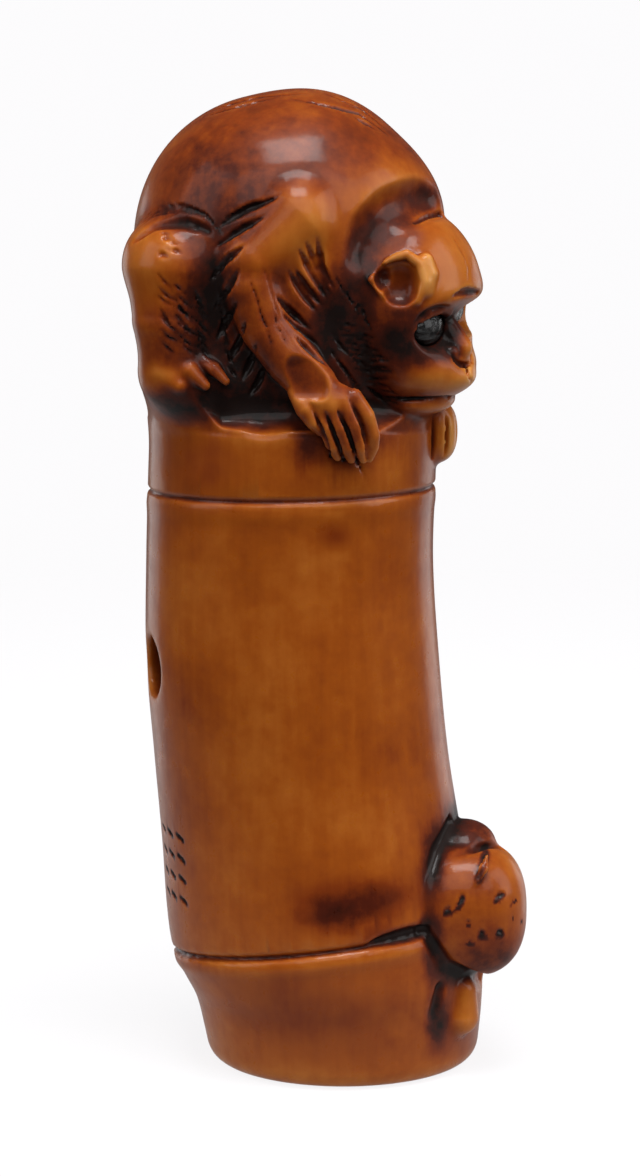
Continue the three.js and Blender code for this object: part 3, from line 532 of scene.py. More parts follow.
def engrave_creases(clay):
    """Long hairs on the cheek, folds over the knee, lines along the spine, chips and small cracks."""
    long_cheek_lines = [[(-1.1, 44.5), (-0.1, 43.2), (0.8, 42.1)], [(-0.1, 43), (0.5, 42.1), (1.3, 41.4)],
                        [(-0.9, 45.4), (-0.3, 44.5), (0.4, 43.9)]]
    for line in long_cheek_lines:
        engrave(clay, line, [0.04, 0.11, 0.04], y=-6.8)
    for lift in (0, 0.28, 0.55, 0.85):
        fold = [(-12.6 + lift * 0.2, 51.1 + lift * 0.9), (-11.2 + lift * 0.3, 52.2 + lift * 0.6),
                (-9.6, 52.4 + lift * 0.5), (-8.1, 51.9 + lift * 0.3), (-7.2, 50.9)]
        engrave(clay, fold, [0.03, 0.08 - 0.03 * lift, 0.07, 0.02], y=-6)
    engrave(clay, [(-12.3, 50.7), (-11.1, 51.6), (-9.4, 51.7), (-8, 51.1)], [0.05, 0.2, 0.2, 0.05],
            y=-6, soft=0.4, depth=-0.6)
    spine_lines = [[(-8.6, 57.8), (-5.4, 58.7), (-2.3, 58.9)], [(-8.2, 57.6), (-3.9, 58.7)],
                   [(-1.2, 58.9), (0.9, 58), (2.3, 56.8)], [(-3.3, 58.5), (0.8, 57.6), (2.4, 56.4)],
                   [(-7.4, 58.2), (-5.9, 58.6)], [(0.4, 57.4), (1.6, 56.7)]]
    for line in spine_lines:
        engrave(clay, line, [0.04, 0.16, 0.04], y=-2)
    engrave(clay, [(6.15, 50.5), (6.8, 49.4), (7.05, 48.7), (7.05, 48)], [0.02, 0.05, 0.04, 0.02], y=-3.5)
    knee_chips = [(-10.45, 50.9, 0.2), (-10.1, 50.6, 0.16), (-10.7, 49.9, 0.2), (-10.35, 50.2, 0.12),
                  (-10.6, 51.2, 0.12), (-9.9, 50.1, 0.14)]
    for x, z, radius in knee_chips:
        engrave(clay, [(x, z), (x + 0.3, z - 0.12)], [radius, 0.5 * radius], y=-6.8, soft=0.1, depth=-0.45)
    engrave(clay, [(0.4, 38.6), (1, 37.2)], [0.02, 0.07, 0.02], y=-8.6)


# ---- the small spotted animal

def carve_small_animal(clay):
    clay.add(Lump((7.15, -3.2, 10.1), (3.75, 3.75, 4.1), power=2.5), 0.5)
    clay.cut(Lump((13.3, -4.6, 4.7), (3.1, 4.2, 3.8)), 0.6)
    clay.add(Lump((7, 0.8, 8.6), (3, 3.2, 3.2)), 1.2)
    clay.add(Lump((7.1, -1.9, 13.7), (2, 2.3, 1.5)), 0.3)
    cuts = [
        [(6.3, -2.9, 15.4, 0.3), (5.5, -5.1, 14.2, 0.42), (4.95, -6.5, 12.8, 0.25)],
        [(4.8, -6.9, 11, 0.15), (4.75, -6.9, 9.6, 0.3)],
        [(4.95, -6.8, 9.1, 0.35), (6, -6.5, 7.3, 0.5), (7.5, -5.4, 6.1, 0.75), (8.6, -3.4, 5.4, 0.8),
         (8.8, -1, 5.2, 0.8)],
        [(5.7, -6.3, 5.9, 0.4), (5.5, -6.9, 4.4, 0.6), (5.9, -6.9, 3, 0.5), (6.6, -6.6, 2.5, 0.3)],
        [(5.5, -6, 14.1, 0.25), (7.3, -5, 14.2, 0.3), (9.5, -2.4, 13.6, 0.35)],
    ]
    for cut in cuts:
        clay.cut(Limb(cut), 0.25)
    clay.add(Limb([(6.9, -4.2, 5.2, 1), (6.8, -4.3, 3.7, 1.25)]), 0.45)
    engrave(clay, [(1.2, 9.15), (2.5, 9.4), (3.6, 9.62), (4.7, 9.88)], [0.05, 0.26, 0.36, 0.4, 0.25],
            soft=0.25, depth=-0.25)
    clay.add(Limb([(7.2, 3.4, 5.2, 0.6), (7, 3.8, 3.8, 0.9)]), 0.5)


def mark_small_animal(clay):
    """The raised light edges of the slit on its shoulder, the slit, and its spots and dashes."""
    clay.add(Limb([(7.75, -6.55, 12.5, 0.14), (8.15, -6.4, 13.3, 0.3), (8.4, -5.9, 14, 0.12)]), 0.15)
    for line, radius in ANIMAL_MARKS:
        engrave(clay, line, [0.7 * radius, radius, 0.7 * radius], y=-5.5, depth=-0.2)


def inscription_dashes():
    """Equal dashes in equal rows, all slanted one way, as (y, z) at both ends."""
    dashes = []
    for row in range(DASH_ROWS):
        for place in range(DASHES_IN_ROW):
            y = DASHES_FROM[0] + place * DASH_STEP
            z = DASHES_FROM[1] + row * DASH_ROW_STEP
            dashes.append([(y, z), (y + DASH_RUN[0], z + DASH_RUN[1])])
    return dashes


def carve_inscription(clay):
    """Shallow dashes in the inscription's place; they are not letters."""
    for dash in inscription_dashes():
        engrave(clay, dash, [0.07, DASH_RADIUS, 0.07], depth=0, from_left=True)


def carve_cord_channel(clay):
    clay.cut(Limb([(-13.4, -2.9, 24.7, 1.85), (-8.6, -0.2, 24.7, 1.7), (-6.8, 4.6, 24.7, 1.7),
                   (-6.9, 10.2, 24.7, 1.9)]), 0.5)


# ---- clay to mesh

def graded_axis(stretches):
    """Grid places along stretches (start, end, step), the last place of each being the next one's first."""
    places = [stretches[0][0]]
    for start, end, step in stretches:
        count = max(1, round((end - start) / step))
        places.extend(start + (end - start) * (i + 1) / count for i in range(count))
    return places


def surface_nets(clay):
    """Vertices (n, 3) and quads (m, 4) of the surface where the clay's value is zero."""
    value = clay.value
    inside = value < 0
    shape = np.array(value.shape) - 1
    corner_slices = [tuple(slice((c >> i) & 1, ((c >> i) & 1) + shape[i]) for i in range(3))
                     for c in range(8)]
    count = np.zeros(shape, np.uint8)
    for corner in corner_slices:
        count += inside[corner]
    cells = np.argwhere((count > 0) & (count < 8))
    number = np.full(shape, -1, np.int32)
    number[tuple(cells.T)] = np.arange(len(cells))
    values = np.stack([value[corner][tuple(cells.T)] for corner in corner_slices], axis=1)
    total = np.zeros((len(cells), 3))
    crossings = np.zeros(len(cells))
    for a in range(8):
        for axis in range(3):
            if (a >> axis) & 1:
                continue
            va, vb = values[:, a], values[:, a | (1 << axis)]
            crossed = (va < 0) != (vb < 0)
            t = np.where(crossed, va / np.where(crossed, va - vb, 1), 0)
            for i in range(3):
                total[:, i] += np.where(crossed, t if i == axis else (a >> i) & 1, 0)
            crossings += crossed
    index = cells + total / crossings[:, None]
    points = np.stack([np.interp(index[:, i], np.arange(len(axis)), axis)
                       for i, axis in enumerate(clay.axes)], axis=1)
    quads = []
    for axis in range(3):
        u, v = (axis + 1) % 3, (axis + 2) % 3
        nodes = np.argwhere(np.diff(inside, axis=axis))
        nodes = nodes[(nodes[:, u] > 0) & (nodes[:, v] > 0)
                      & (nodes[:, u] < shape[u]) & (nodes[:, v] < shape[v])]
        step_u, step_v = np.eye(3, dtype=int)[u], np.eye(3, dtype=int)[v]
        ring = [nodes - step_u - step_v, nodes - step_v, nodes, nodes - step_u]
        quad = np.stack([number[tuple(cell.T)] for cell in ring], axis=1)
        flip = ~inside[tuple(nodes.T)]
        quad[flip] = quad[flip][:, ::-1]
        quads.append(quad)
    return points, np.concatenate(quads)


def settle(clay, points, reach, rounds=2):
    """Moves points along the field's slope onto the surface."""
    for _ in range(rounds):
        slope = clay.slope(points, reach)
        square = np.maximum((slope ** 2).sum(axis=1), 0.05)
        move = slope * (clay.at(points) / square)[:, None]
        points = points - np.clip(move, -reach, reach)
    return points


def relax(points, quads):
    """Each point goes halfway to the middle of its neighbours."""
    total = np.zeros_like(points)
    weight = np.zeros(len(points))
    for a, b in ((0, 1), (1, 2), (2, 3), (3, 0)):
        for here, there in ((a, b), (b, a)):
            for i in range(3):
                total[:, i] += np.bincount(quads[:, here], points[quads[:, there], i], len(points))
            weight += np.bincount(quads[:, here], minlength=len(points))
    return (points + total / weight[:, None]) / 2


def vertex_places(mesh):
    flat = np.empty(len(mesh.vertices) * 3, np.float32)
    mesh.vertices.foreach_get("co", flat)
    return flat.reshape(-1, 3).astype(float)


def put_vertices(mesh, places):
    mesh.vertices.foreach_set("co", places.astype(np.float32).ravel())


def mesh_object(name, points, faces):
    mesh = bpy.data.meshes.new(name)
    mesh.vertices.add(len(points))
    put_vertices(mesh, points)
    mesh.loops.add(faces.size)
    mesh.loops.foreach_set("vertex_index", faces.astype(np.int32).ravel())
    mesh.polygons.add(len(faces))
    mesh.polygons.foreach_set("loop_start", np.arange(len(faces), dtype=np.int32) * faces.shape[1])
    mesh.update(calc_edges=True)
    piece = bpy.data.objects.new(name, mesh)
    bpy.context.scene.collection.objects.link(piece)
    return piece


def thin_out(piece, triangles):
    """Leaves about that many triangles, most of them where the surface bends."""
    present = sum(len(p.vertices) - 2 for p in piece.data.polygons)
    if present <= triangles:
        return
    modifier = piece.modifiers.new("thin", "DECIMATE")
    modifier.ratio = triangles / present
    modifier.use_collapse_triangulate = True
    thinned = bpy.data.meshes.new_from_object(piece.evaluated_get(bpy.context.evaluated_depsgraph_get()))
    piece.modifiers.clear()
    piece.data = thinned


# ---- stain, wear, painted shade and painted highlights

# Soft places painted dark: partly real stain, and partly painted shade in the recesses between leg, arm and
# body, under the hand, chin and jaw, inside the cord hole and over the top and left of the back: centre,
# radii, strength.
SHADE_AND_STAIN_PLACES = [
    ((-4, -8, 45.5), (9.5, 9, 6.5), 0.1), ((8, -6, 10.5), (3, 4, 4.5), 0.3),
    ((-3, -4, 56.5), (9.5, 9, 4.6), 0.36), ((3.4, -8, 9.6), (2.2, 3, 0.6), 0.8),
    ((-9, -4, 7), (3, 5, 0.8), 0.2), ((-8.3, -6, 53.6), (3.8, 4, 2.6), 0.4),
    ((4, -6.5, 41.1), (1.8, 3, 0.7), 0.4), ((-5.2, -7, 52.9), (2, 3, 1.2), 0.3),
    ((-7.6, -8, 47.2), (1.6, 4, 4.4), 0.85), ((-6.3, -7.5, 51.9), (1.7, 4, 1.2), 0.5),
    ((-5.9, -8, 42.8), (2.4, 4, 2), 0.9), ((-0.4, -8, 46), (2.1, 4, 3), 0.9),
    ((1, -8, 43), (1.5, 4, 2), 0.75), ((-10.6, -1.6, 24.7), (2, 2.2, 1.95), 0.65),
    ((0.7, -7, 49.2), (1.4, 4, 2.4), 0.5), ((2.2, -6.5, 51.6), (2.2, 4, 1.4), 0.55),
    ((4.8, -4, 53), (1.9, 5, 0.8), 0.55), ((2.4, -7, 45.1), (1.7, 3, 2.2), 0.2),
    ((3, -7.6, 46.9), (1.2, 1, 0.5), 0.5), ((2.3, -7, 43.2), (1.2, 3, 1.2), 0.35),
    ((4.6, -5.8, 45.3), (1.9, 2.5, 1.5), 1), ((5.7, -5, 45.3), (1.5, 2.5, 1.2), 0.9),
    ((4.6, -5.8, 45.1), (2.2, 2.5, 1.9), 0.8), ((6.6, -4.6, 43.25), (0.5, 1.5, 0.4), 0.5),
    ((6.95, -4.5, 47.45), (0.8, 1.5, 0.26), 0.75), ((4.7, -6, 44.6), (2.1, 2.5, 1.1), 1),
    ((3.5, -6.8, 45.3), (1.3, 2, 0.9), 0.8), ((3, -6.5, 41), (2.4, 3, 0.8), 0.5),
    ((3, -6.8, 39.8), (3.6, 2.5, 0.9), 0.5), ((5.1, -6, 38.9), (0.8, 2.5, 1.6), 0.35),
    ((0, -9, 39.6), (1.9, 2, 1.9), 0.6), ((-2.3, -8.6, 39.5), (1, 2, 1.3), 0.6),
    ((-5.2, -8, 40.9), (3.6, 4, 0.9), 0.8), ((-9.4, -7, 41.3), (3.2, 3, 0.9), 0.8),
    ((-10.3, -7, 45), (1.8, 3, 1.6), 0.5), ((-9.2, -7, 47), (1.3, 3, 2.6), 0.35),
    ((-9.6, -6.5, 40.7), (2.4, 3, 1), 0.45), ((-4.9, -8, 47.6), (1.3, 3, 1.8), 0.2),
    ((-9.4, -6.5, 51.9), (2.4, 4, 0.9), 0.45), ((-4.2, -8.5, 45.4), (1.6, 2, 2), 0.2),
    ((-3.6, -8.5, 48.6), (1.6, 3, 1.4), 0.25), ((-2.3, -9, 43.1), (1.2, 1.2, 1.4), 0.25),
    ((0.9, -8, 38.9), (1.6, 3, 1.6), 0.35), ((5.1, -6.5, 9), (0.7, 3, 1.8), 0.7),
    ((5.2, -5.8, 13.4), (0.7, 3, 1.8), 0.75), ((6.5, -6, 6.8), (1.5, 3, 0.9), 0.75),
    ((5.5, -6.5, 4.1), (0.7, 3, 1.8), 0.8), ((6.6, -2.2, 14.9), (2.2, 4, 1.3), 0.75),
    ((8.4, -2, 14.6), (1.6, 3, 0.7), 0.5), ((9, -5, 7.4), (2.6, 4, 1.6), 0.45),
    ((3.6, 5.5, 46), (2.5, 3, 3.5), 0.5), ((-9.4, 6, 43.4), (3, 3, 1.4), 0.5),
    ((-4, 7.5, 42), (3.5, 3, 1.6), 0.6), ((2, 6, 51.5), (2.5, 3, 1.6), 0.4),
    ((-6, 7.5, 48.5), (1.5, 3, 3.5), 0.4),
]

# Soft places painted light, in the same way: partly wear from handling, and partly painted highlights on lit
# bulges such as the forehead, shoulder, knee, ear, nose, jaw and the left side of the bamboo.
LIT_AND_WORN_PLACES = [
    ((6.1, -4.5, 48.9), (1.8, 4, 1.7), 0.75), ((5.3, -6, 42.9), (1.8, 3, 1), 0.75),
    ((7.2, -4.4, 43.8), (0.6, 2, 0.8), 0.9), ((6.6, -4.6, 42.2), (1.6, 3, 0.7), 0.5),
    ((-10, -5, 33), (2.5, 5, 9), 0.12), ((-3, -8, 50.4), (2.2, 4, 2.4), 0.75),
    ((-0.4, -7, 52.6), (3.2, 4, 1.5), 0.6), ((-1.4, -9.3, 41.5), (1.5, 2, 0.6), 0.9),
    ((-2, -9.1, 40.3), (0.45, 2, 0.8), 1), ((1.5, -8.6, 40.4), (0.35, 2, 1.1), 0.7),
    ((4.75, -7.2, 48.9), (0.6, 2, 1.2), 0.8), ((6.5, -1, 38.7), (1.3, 3, 1.7), 0.8),
    ((10.4, -3, 11.2), (1.2, 4, 2.8), 0.7), ((-11.6, -5, 48.8), (1.4, 4, 2.2), 0.3),
    ((-10.6, -7.4, 43.1), (0.9, 2, 0.4), 0.8), ((2.6, -6.5, 54), (2.6, 4, 1.5), 0.4),
    ((-10.3, -7, 50.5), (0.5, 2, 0.7), 0.7), ((7, -5.5, 3.9), (1, 2, 1.4), 0.4),
    ((-8.9, -7.5, 43.5), (0.7, 2, 0.3), 0.5), ((4.6, -6, 40.8), (1.7, 2.5, 0.45), 0.9),
    ((3.6, -7.2, 37.6), (2.4, 2, 1.1), 0.3),
]


# How hollow the surface is, over a fine and a broad reach, for the painted shade in hollows and grooves and
# the lighter ridges: (reach, gain).
HOLLOWS = ((0.3, 1.9), (1.3, 1.5))
DIRECTIONS = 26


def sphere_directions(count):
    index = np.arange(count) + 0.5
    z = 1 - 2 * index / count
    turn = index * math.pi * (3 - math.sqrt(5))
    ring = np.sqrt(1 - z * z)
    return np.stack([ring * np.cos(turn), ring * np.sin(turn), z], axis=1)


def buried(clay, points, radius):
    """How hollow the surface is at points: 0 where it is flat, up to 1 in a hollow, less on a ridge."""
    total = 0
    for way in sphere_directions(DIRECTIONS):
        total = total + np.clip(0.5 - clay.at(points + way * radius) / (0.5 * radius), 0, 1)
    return 2 * total / DIRECTIONS - 1


def soft_places(points, places):
    """How far points lie in soft places, each one added to what the others leave."""
    total = 0
    for centre, radii, strength in places:
        square = (((points - centre) / radii) ** 2).sum(axis=1)
        total = total + (1 - total) * strength * np.exp(-square ** 1.3)
    return total


def on_lines(flat, lines):
    """1 at the plane points on the lines of (points, radius), 0 away from them."""
    total = np.zeros(len(flat))
    for line, radius in lines:
        for start, end in zip(line, line[1:]):
            start, run = np.array(start), np.subtract(end, start)
            t = np.clip(((flat - start) @ run) / (run @ run), 0, 1)
            reach = np.linalg.norm(flat - start - t[:, None] * run, axis=1)
            total = np.maximum(total, np.clip(1.5 - reach / radius * 0.9, 0, 1))
    return total


def ink(points):
    """1 on the black marks of the small animal and the inscription's dashes, 0 elsewhere."""
    dashes = [(dash, DASH_RADIUS) for dash in inscription_dashes()]
    return (on_lines(points[:, [0, 2]], ANIMAL_MARKS) * (points[:, 1] < 0)
            + on_lines(points[:, [1, 2]], dashes) * (points[:, 0] < -6))


def paint_stain_wear_and_painted_light(piece, clay, points):
    """Stores per vertex the painted darkening (stain and painted shade), the painted lightening (wear and
    painted highlights) and how deep in a groove it lies, for painted shade in hollows.
    """
    fine, broad = (np.clip(buried(clay, points, reach) * gain, -1, 1) for reach, gain in HOLLOWS)
    colour = np.ones((len(points), 4), np.float32)
    colour[:, 0] = np.maximum(soft_places(points, SHADE_AND_STAIN_PLACES), ink(points))
    colour[:, 1] = soft_places(points, LIT_AND_WORN_PLACES)
    colour[:, 2] = 0.5 + 0.25 * fine + 0.25 * broad
    stain_wear_and_painted_light = piece.data.color_attributes.new("stain_wear_and_painted_light", "FLOAT_COLOR", "POINT")
    stain_wear_and_painted_light.data.foreach_set("color", colour.ravel())


def sculpted_clay():
    clay = Clay(*(graded_axis(stretches) for stretches in BLOCK))
    for carve in (carve_bamboo, carve_trunk, carve_near_leg, carve_far_limbs, carve_head, carve_neck,
                  carve_near_arm, carve_fur_edges, carve_small_animal, carve_cord_channel, engrave_fur,
                  engrave_creases, mark_small_animal, carve_inscription):
        carve(clay)
    return clay


def carved_netsuke():
    clay = sculpted_clay()
    points, quads = surface_nets(clay)
    points = settle(clay, relax(points, quads), GRID)
    piece = mesh_object("netsuke_carved", points, quads)
    thin_out(piece, TRIANGLES)
    places = vertex_places(piece.data)
    places[:, 2] = np.maximum(places[:, 2], 0)
    paint_stain_wear_and_painted_light(piece, clay, places)
    normals = clay.slope(places, GRID)
    normals /= np.linalg.norm(normals, axis=1)[:, None] + 1e-9
    put_vertices(piece.data, places * MM)
    piece.data.shade_smooth()
    piece.data.normals_split_custom_set_from_vertices(normals.tolist())
    piece.data.update()
    return piece


# ---- materials

def linear(red, green, blue):
    """A colour given as 0 to 255 screen values, in the renderer's linear values."""
    levels = [v / 255 for v in (red, green, blue)]
    return [((v + 0.055) / 1.055) ** 2.4 if v > 0.04 else v / 12.92 for v in levels] + [1]


class Nodes:
    """Short names for making and joining the nodes of a tree."""

    def __init__(self, tree):
        self.tree = tree

    def put(self, socket, value):
        if isinstance(value, bpy.types.NodeSocket):
            self.tree.links.new(value, socket)
        else:
            socket.default_value = value

    def make(self, kind, **inputs):
        node = self.tree.nodes.new(kind)
        for name, value in inputs.items():
            self.put(node.inputs[name.replace("_", " ")], value)
        return node

    def math(self, operation, a, b=0.0, clamp=False):
        node = self.tree.nodes.new("ShaderNodeMath")
        node.operation = operation
        node.use_clamp = clamp
        self.put(node.inputs[0], a)
        self.put(node.inputs[1], b)
        return node.outputs[0]

    def total(self, *values):
        return functools.reduce(lambda a, b: self.math("ADD", a, b), values)

    def product(self, *values):
        return functools.reduce(lambda a, b: self.math("MULTIPLY", a, b), values)

    def swing(self, value, amount):
        """How far a value is from its middle, 0.5, times an amount."""
        return self.product(self.math("SUBTRACT", value, 0.5), amount)

    def length(self, place):
        node = self.tree.nodes.new("ShaderNodeVectorMath")
        node.operation = "LENGTH"
        self.put(node.inputs[0], place)
        return node.outputs["Value"]

    def noise(self, place, scale, detail=3.0, roughness=0.55):
        node = self.make("ShaderNodeTexNoise", Vector=place, Scale=scale, Detail=detail, Roughness=roughness)
        return node.outputs["Fac"]

    def place(self, scale=(1, 1, 1), shift=(0, 0, 0)):
        """Object coordinates in millimetres, stretched by scale."""
        mapping = self.make("ShaderNodeMapping", Vector=self.make("ShaderNodeTexCoord").outputs["Object"],
                            Scale=[s / MM for s in scale], Location=shift)
        return mapping.outputs["Vector"]

    def spot(self, centre, radii, strength, wobble):
        """A soft patch with an uneven edge: strength in its middle, nothing outside it."""
        place = self.place([1 / r for r in radii], [-c / r for c, r in zip(centre, radii)])
        reach = self.total(self.length(place), wobble)
        return self.product(self.math("SUBTRACT", 1.0, reach, clamp=True), strength)

    def ramp(self, factor, stops):
        node = self.tree.nodes.new("ShaderNodeValToRGB")
        self.put(node.inputs["Fac"], factor)
        elements = node.color_ramp.elements
        while len(elements) < len(stops):
            elements.new(0.5)
        for element, stop in zip(elements, stops):
            element.position, element.color = stop
        return node.outputs["Color"]


class Finish(Nodes):
    """A material of its own, whose Principled shader takes constants and linked nodes by name."""

    def __init__(self, name):
        self.material = bpy.data.materials.new(name)
        self.material.use_nodes = True
        super().__init__(self.material.node_tree)

    def finish(self, **inputs):
        sockets = self.tree.nodes["Principled BSDF"].inputs
        for name, value in inputs.items():
            self.put(sockets[name.replace("_", " ")], value)


# Colour ramp from the light honey of worn places and painted highlights to the near-black of stain and
# painted shade.
TONE_STOPS = [
    (0.0, linear(206, 140, 72)), (0.2, linear(184, 106, 38)), (0.4, linear(158, 78, 20)),
    (0.58, linear(126, 52, 14)), (0.75, linear(78, 27, 12)), (1.0, linear(26, 13, 10)),
]
BAMBOO_PATCHES = [
    ((0.4, -8.6, 11.7), (4.2, 4, 2.0), 0.3), ((-1.2, -9, 11.0), (2.6, 4, 1.6), 0.26),
    ((2.4, -8.2, 11.9), (3.0, 4, 1.7), 0.2), ((-0.6, -8.6, 33.6), (1.2, 3, 1.2), 0.3),
    ((-8.5, -6.5, 36.5), (3.5, 5, 3.0), 0.14), ((-3.0, -9, 5.0), (6, 5, 4), 0.18),
]
# The tone's middle level, and how much each cause adds to it: clouds, grain and flecks of real stain, places
# of stain and painted shade, places of wear and painted highlights, and painted shade in hollows.
STAIN_LEVEL = 0.43
CLOUD_STAIN, GRAIN_STAIN, FLECK_STAIN, HOLLOW_SHADE = 0.5, 0.16, 0.22, 1.1
SHADE_AND_STAIN_DARKENING, HIGHLIGHT_AND_WEAR_LIFT = 0.64, -0.24
EDGE_WOBBLE = 0.9
POLISH, DARK_POLISH, RUBBED_POLISH = 0.3, 0.38, 0.22
SCRATCH_HEIGHT, SWELL_HEIGHT = 0.012, 0.05

EYE_STOPS = [(0.35, linear(4, 4, 3)), (0.7, linear(10, 11, 9))]
EYE_POLISH, EYE_RUBBED_POLISH = 0.03, 0.12
CRAZING_HEIGHT, EYE_GRAIN_HEIGHT, EYE_RELIEF = 0.3, 0.25, 1.4


def carving_material():
    """Polished and stained orange-brown, with painted shade darkening the cuts and hollows, and painted
    highlights and wear lightening it where it stands proud.
    """
    n = Finish("stained_carving")
    # The vertex colour's channels: stain with painted shade, wear with painted highlights (light), and
    # hollowness for painted shade in hollows.
    stain_wear_and_painted_light = n.make("ShaderNodeVertexColor")
    stain_wear_and_painted_light.layer_name = "stain_wear_and_painted_light"
    shade_and_stain, light, hollow_shade = n.make("ShaderNodeSeparateColor", Color=stain_wear_and_painted_light.outputs["Color"]).outputs
    cloud = n.noise(n.place(), 0.16, detail=4)
    fleck = n.noise(n.place(shift=(7, 3, 1)), 0.9, detail=5, roughness=0.62)
    grain = n.noise(n.place(scale=(1.0, 1.0, 0.07), shift=(2, 5, 9)), 1.5, detail=4)
    scratches = n.noise(n.place(scale=(1.0, 1.0, 0.3), shift=(4, 4, 4)), 5.0, detail=5, roughness=0.7)
    swell = n.noise(n.place(shift=(1, 8, 2)), 0.5, detail=2)

    edge = n.swing(fleck, EDGE_WOBBLE)
    uneven = n.total(1.0, edge)
    # Real stain from clouds, grain and flecks, plus painted shade in dark places and hollows and painted
    # highlights on lit places and ridges.
    stain_and_painted_light = n.total(STAIN_LEVEL, n.swing(cloud, CLOUD_STAIN), n.swing(grain, GRAIN_STAIN),
                    n.swing(fleck, FLECK_STAIN), n.product(shade_and_stain, uneven, SHADE_AND_STAIN_DARKENING),
                    n.product(light, uneven, HIGHLIGHT_AND_WEAR_LIFT), n.swing(hollow_shade, HOLLOW_SHADE),
                    *(n.spot(*patch, edge) for patch in BAMBOO_PATCHES))
    matt = n.total(POLISH, n.product(shade_and_stain, DARK_POLISH))
    height = n.total(n.product(scratches, SCRATCH_HEIGHT), n.product(swell, SWELL_HEIGHT))
    bump = n.make("ShaderNodeBump", Height=height, Strength=0.5, Distance=MM).outputs["Normal"]
    n.finish(Base_Color=n.ramp(stain_and_painted_light, TONE_STOPS), Normal=bump, Coat_Normal=bump,
             Roughness=n.math("ADD", matt, n.swing(fleck, RUBBED_POLISH), clamp=True),
             Specular_IOR_Level=0.14, Coat_Weight=0.2, Coat_Roughness=0.06,
             Subsurface_Weight=0.12, Subsurface_Radius=(1.0, 0.35, 0.1), Subsurface_Scale=0.0008)
    return n.material


def eye_material():
    """Glossy greenish-black inlay with a crazed, sparkling skin."""
    n = Finish("inlaid_eye")
    crazing = n.make("ShaderNodeTexVoronoi", Vector=n.place(), Scale=2.6)
    crazing.feature = "SMOOTH_F1"
    fine = n.noise(n.place(shift=(3, 1, 2)), 3.5, detail=4, roughness=0.65)
    height = n.total(n.product(crazing.outputs["Distance"], CRAZING_HEIGHT),
                     n.product(fine, EYE_GRAIN_HEIGHT))
    bump = n.make("ShaderNodeBump", Height=height, Strength=1.0, Distance=EYE_RELIEF * MM).outputs["Normal"]
    n.finish(Base_Color=n.ramp(fine, EYE_STOPS), Normal=bump,
             Roughness=n.total(EYE_POLISH, n.product(fine, EYE_RUBBED_POLISH)),
             Specular_IOR_Level=0.35, Coat_Weight=0.4, Coat_Roughness=0.05)
    return n.material


# ---- pieces

def make_eye(near, name):
    bpy.ops.mesh.primitive_uv_sphere_add(segments=40, ring_count=24, radius=1)
    eye = bpy.context.object
    eye.name = name
    centre = head_to_world(eye_centre(near))
    place = Matrix.Translation(Vector(centre) * MM) @ Matrix.Rotation(-HEAD_TURN, 4, "Z")
    eye.data.transform(place @ Matrix.Diagonal([r * MM for r in EYE_RADII] + [1]))
    eye.data.shade_smooth()
    return eye


def press_into_box(piece, node):
    """Draws in whatever stands a few hundredths of a millimetre outside the box of the CAD node."""
    low, high = (np.array(corner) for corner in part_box(node))
    places = vertex_places(piece.data)
    lowest, highest = places.min(axis=0), places.max(axis=0)
    to_low, to_high = np.maximum(lowest, low), np.minimum(highest, high)
    put_vertices(piece.data, to_low + (places - lowest) * (to_high - to_low) / (highest - lowest))


carving = carved_netsuke()
press_into_box(carving, "netsuke")
carving.data.materials.append(carving_material())
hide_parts("netsuke")
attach(carving, "root")

glossy_black = eye_material()
for near, side in ((1, "right"), (-1, "left")):
    eye = make_eye(near, "eye_inlay_" + side)
    eye.data.materials.append(glossy_black)
    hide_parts("eye_" + side)
    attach(eye, "root")


# ---- stage

FLOOR_RADIUS = 0.13
FLOOR_BACK = 0.045
FLOOR_COLOUR = (0.35, 0.35, 0.355, 1)
FLOOR_GLOW_COLOUR = (0.995, 0.99, 1, 1)
FLOOR_GLOW = 0.72
FLOOR_COVER = 0.45
# The floor fades between these shares of its radius.
FADE_FROM, FADE_TO = 0.45, 0.95

# The surroundings: the colour that the camera sees, and their light from the front (-Y) to the back.
SEEN_COLOUR = (0.978, 0.97, 0.98, 1)
WORLD_FRONT = 0.26
WORLD_BACK = 1.7
FRONT_END, BACK_END = -0.5, 0.8

# Area lights: name, place, aim, size (all in metres) and power in watts.
LIGHTS = [
    ("overhead", (0.02, -0.12, 0.44), (0, 0, 0.05), (0.2, 0.16), 1.4),
    ("right", (0.5, -0.12, 0.3), (0, 0, 0.03), (0.35, 0.5), 1.6),
    ("low_right", (0.28, 0.33, 0.0), (0, 0, 0.03), (0.2, 0.2), 0.16),
    ("left", (-0.5, -0.2, 0.3), (0, 0, 0.03), (0.35, 0.5), 1.0),
    ("low_left", (-0.28, 0.33, 0.0), (0, 0, 0.03), (0.2, 0.2), 0.16),
    ("front", (0.05, -0.55, 0.5), (0, 0, 0.03), (0.9, 0.45), 2.6),
]

CAMERA_AIM = (-1.57, 0, 29.1)
CAMERA_RISE = math.radians(10.5)
CAMERA_DISTANCE = 0.25
CAMERA_LENS = 127.04


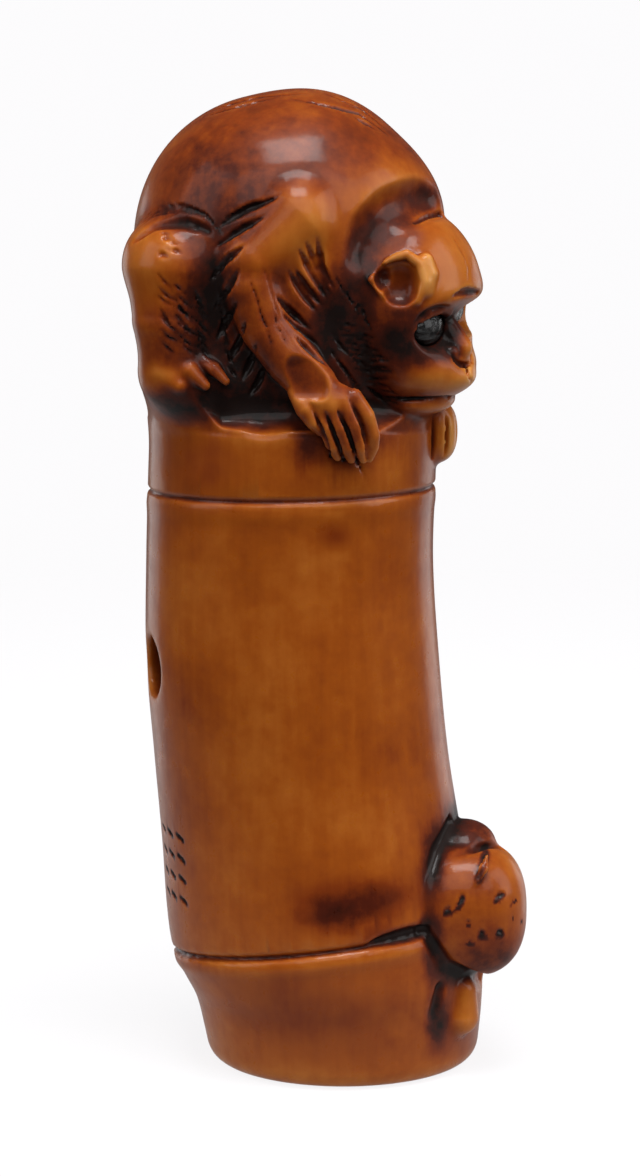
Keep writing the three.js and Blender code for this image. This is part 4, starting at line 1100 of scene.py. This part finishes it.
def stage_floor():
    """A pale round floor that melts into the pale surroundings at its edge."""
    bpy.ops.mesh.primitive_circle_add(vertices=96, radius=FLOOR_RADIUS, fill_type="NGON",
                                      location=(0, FLOOR_BACK, 0))
    floor = bpy.context.object
    floor.name = "floor"
    n = Finish("pale_floor")
    fade = n.make("ShaderNodeMapRange", Value=n.length(n.place()), To_Min=1.0, To_Max=0.0,
                  From_Min=FADE_FROM * FLOOR_RADIUS / MM, From_Max=FADE_TO * FLOOR_RADIUS / MM)
    n.finish(Base_Color=FLOOR_COLOUR, Roughness=0.9, Specular_IOR_Level=0.1,
             Emission_Color=FLOOR_GLOW_COLOUR, Emission_Strength=FLOOR_GLOW,
             Alpha=n.product(fade.outputs["Result"], FLOOR_COVER))
    floor.data.materials.append(n.material)


def studio_world():
    """Pale all round to look at; as light, bright from behind and dim from the front."""
    world = bpy.data.worlds.new("studio")
    bpy.context.scene.world = world
    world.use_nodes = True
    n = Nodes(world.node_tree)
    lighting = n.tree.nodes["Background"]
    split = n.make("ShaderNodeSeparateXYZ", Vector=n.make("ShaderNodeTexCoord").outputs["Generated"])
    level = n.make("ShaderNodeMapRange", Value=split.outputs["Y"], From_Min=FRONT_END, From_Max=BACK_END,
                   To_Min=WORLD_FRONT, To_Max=WORLD_BACK)
    level.interpolation_type = "SMOOTHSTEP"
    n.put(lighting.inputs["Strength"], level.outputs["Result"])
    seen = n.make("ShaderNodeBackground", Color=SEEN_COLOUR)
    choice = n.make("ShaderNodeMixShader", Fac=n.make("ShaderNodeLightPath").outputs["Is Camera Ray"])
    n.put(choice.inputs[1], lighting.outputs[0])
    n.put(choice.inputs[2], seen.outputs[0])
    n.put(n.tree.nodes["World Output"].inputs["Surface"], choice.outputs[0])


def area_light(name, place, aim, size, power):
    data = bpy.data.lights.new(name, "AREA")
    data.shape = "RECTANGLE"
    data.size, data.size_y = size
    data.energy = power
    light = bpy.data.objects.new(name, data)
    light.location = place
    light.rotation_euler = (Vector(aim) - Vector(place)).to_track_quat("-Z", "Y").to_euler()
    bpy.context.scene.collection.objects.link(light)


def camera():
    data = bpy.data.cameras.new("camera")
    view = bpy.data.objects.new("camera", data)
    bpy.context.scene.collection.objects.link(view)
    back = Vector((0, -math.cos(CAMERA_RISE), math.sin(CAMERA_RISE)))
    view.location = Vector(CAMERA_AIM) * MM + back * CAMERA_DISTANCE
    view.rotation_euler = (math.radians(90) - CAMERA_RISE, 0, 0)
    data.lens = CAMERA_LENS
    data.clip_start = 0.01
    bpy.context.scene.camera = view


stage_floor()
for light in LIGHTS:
    area_light(*light)
studio_world()
bpy.context.scene.view_settings.view_transform = "Standard"
camera()
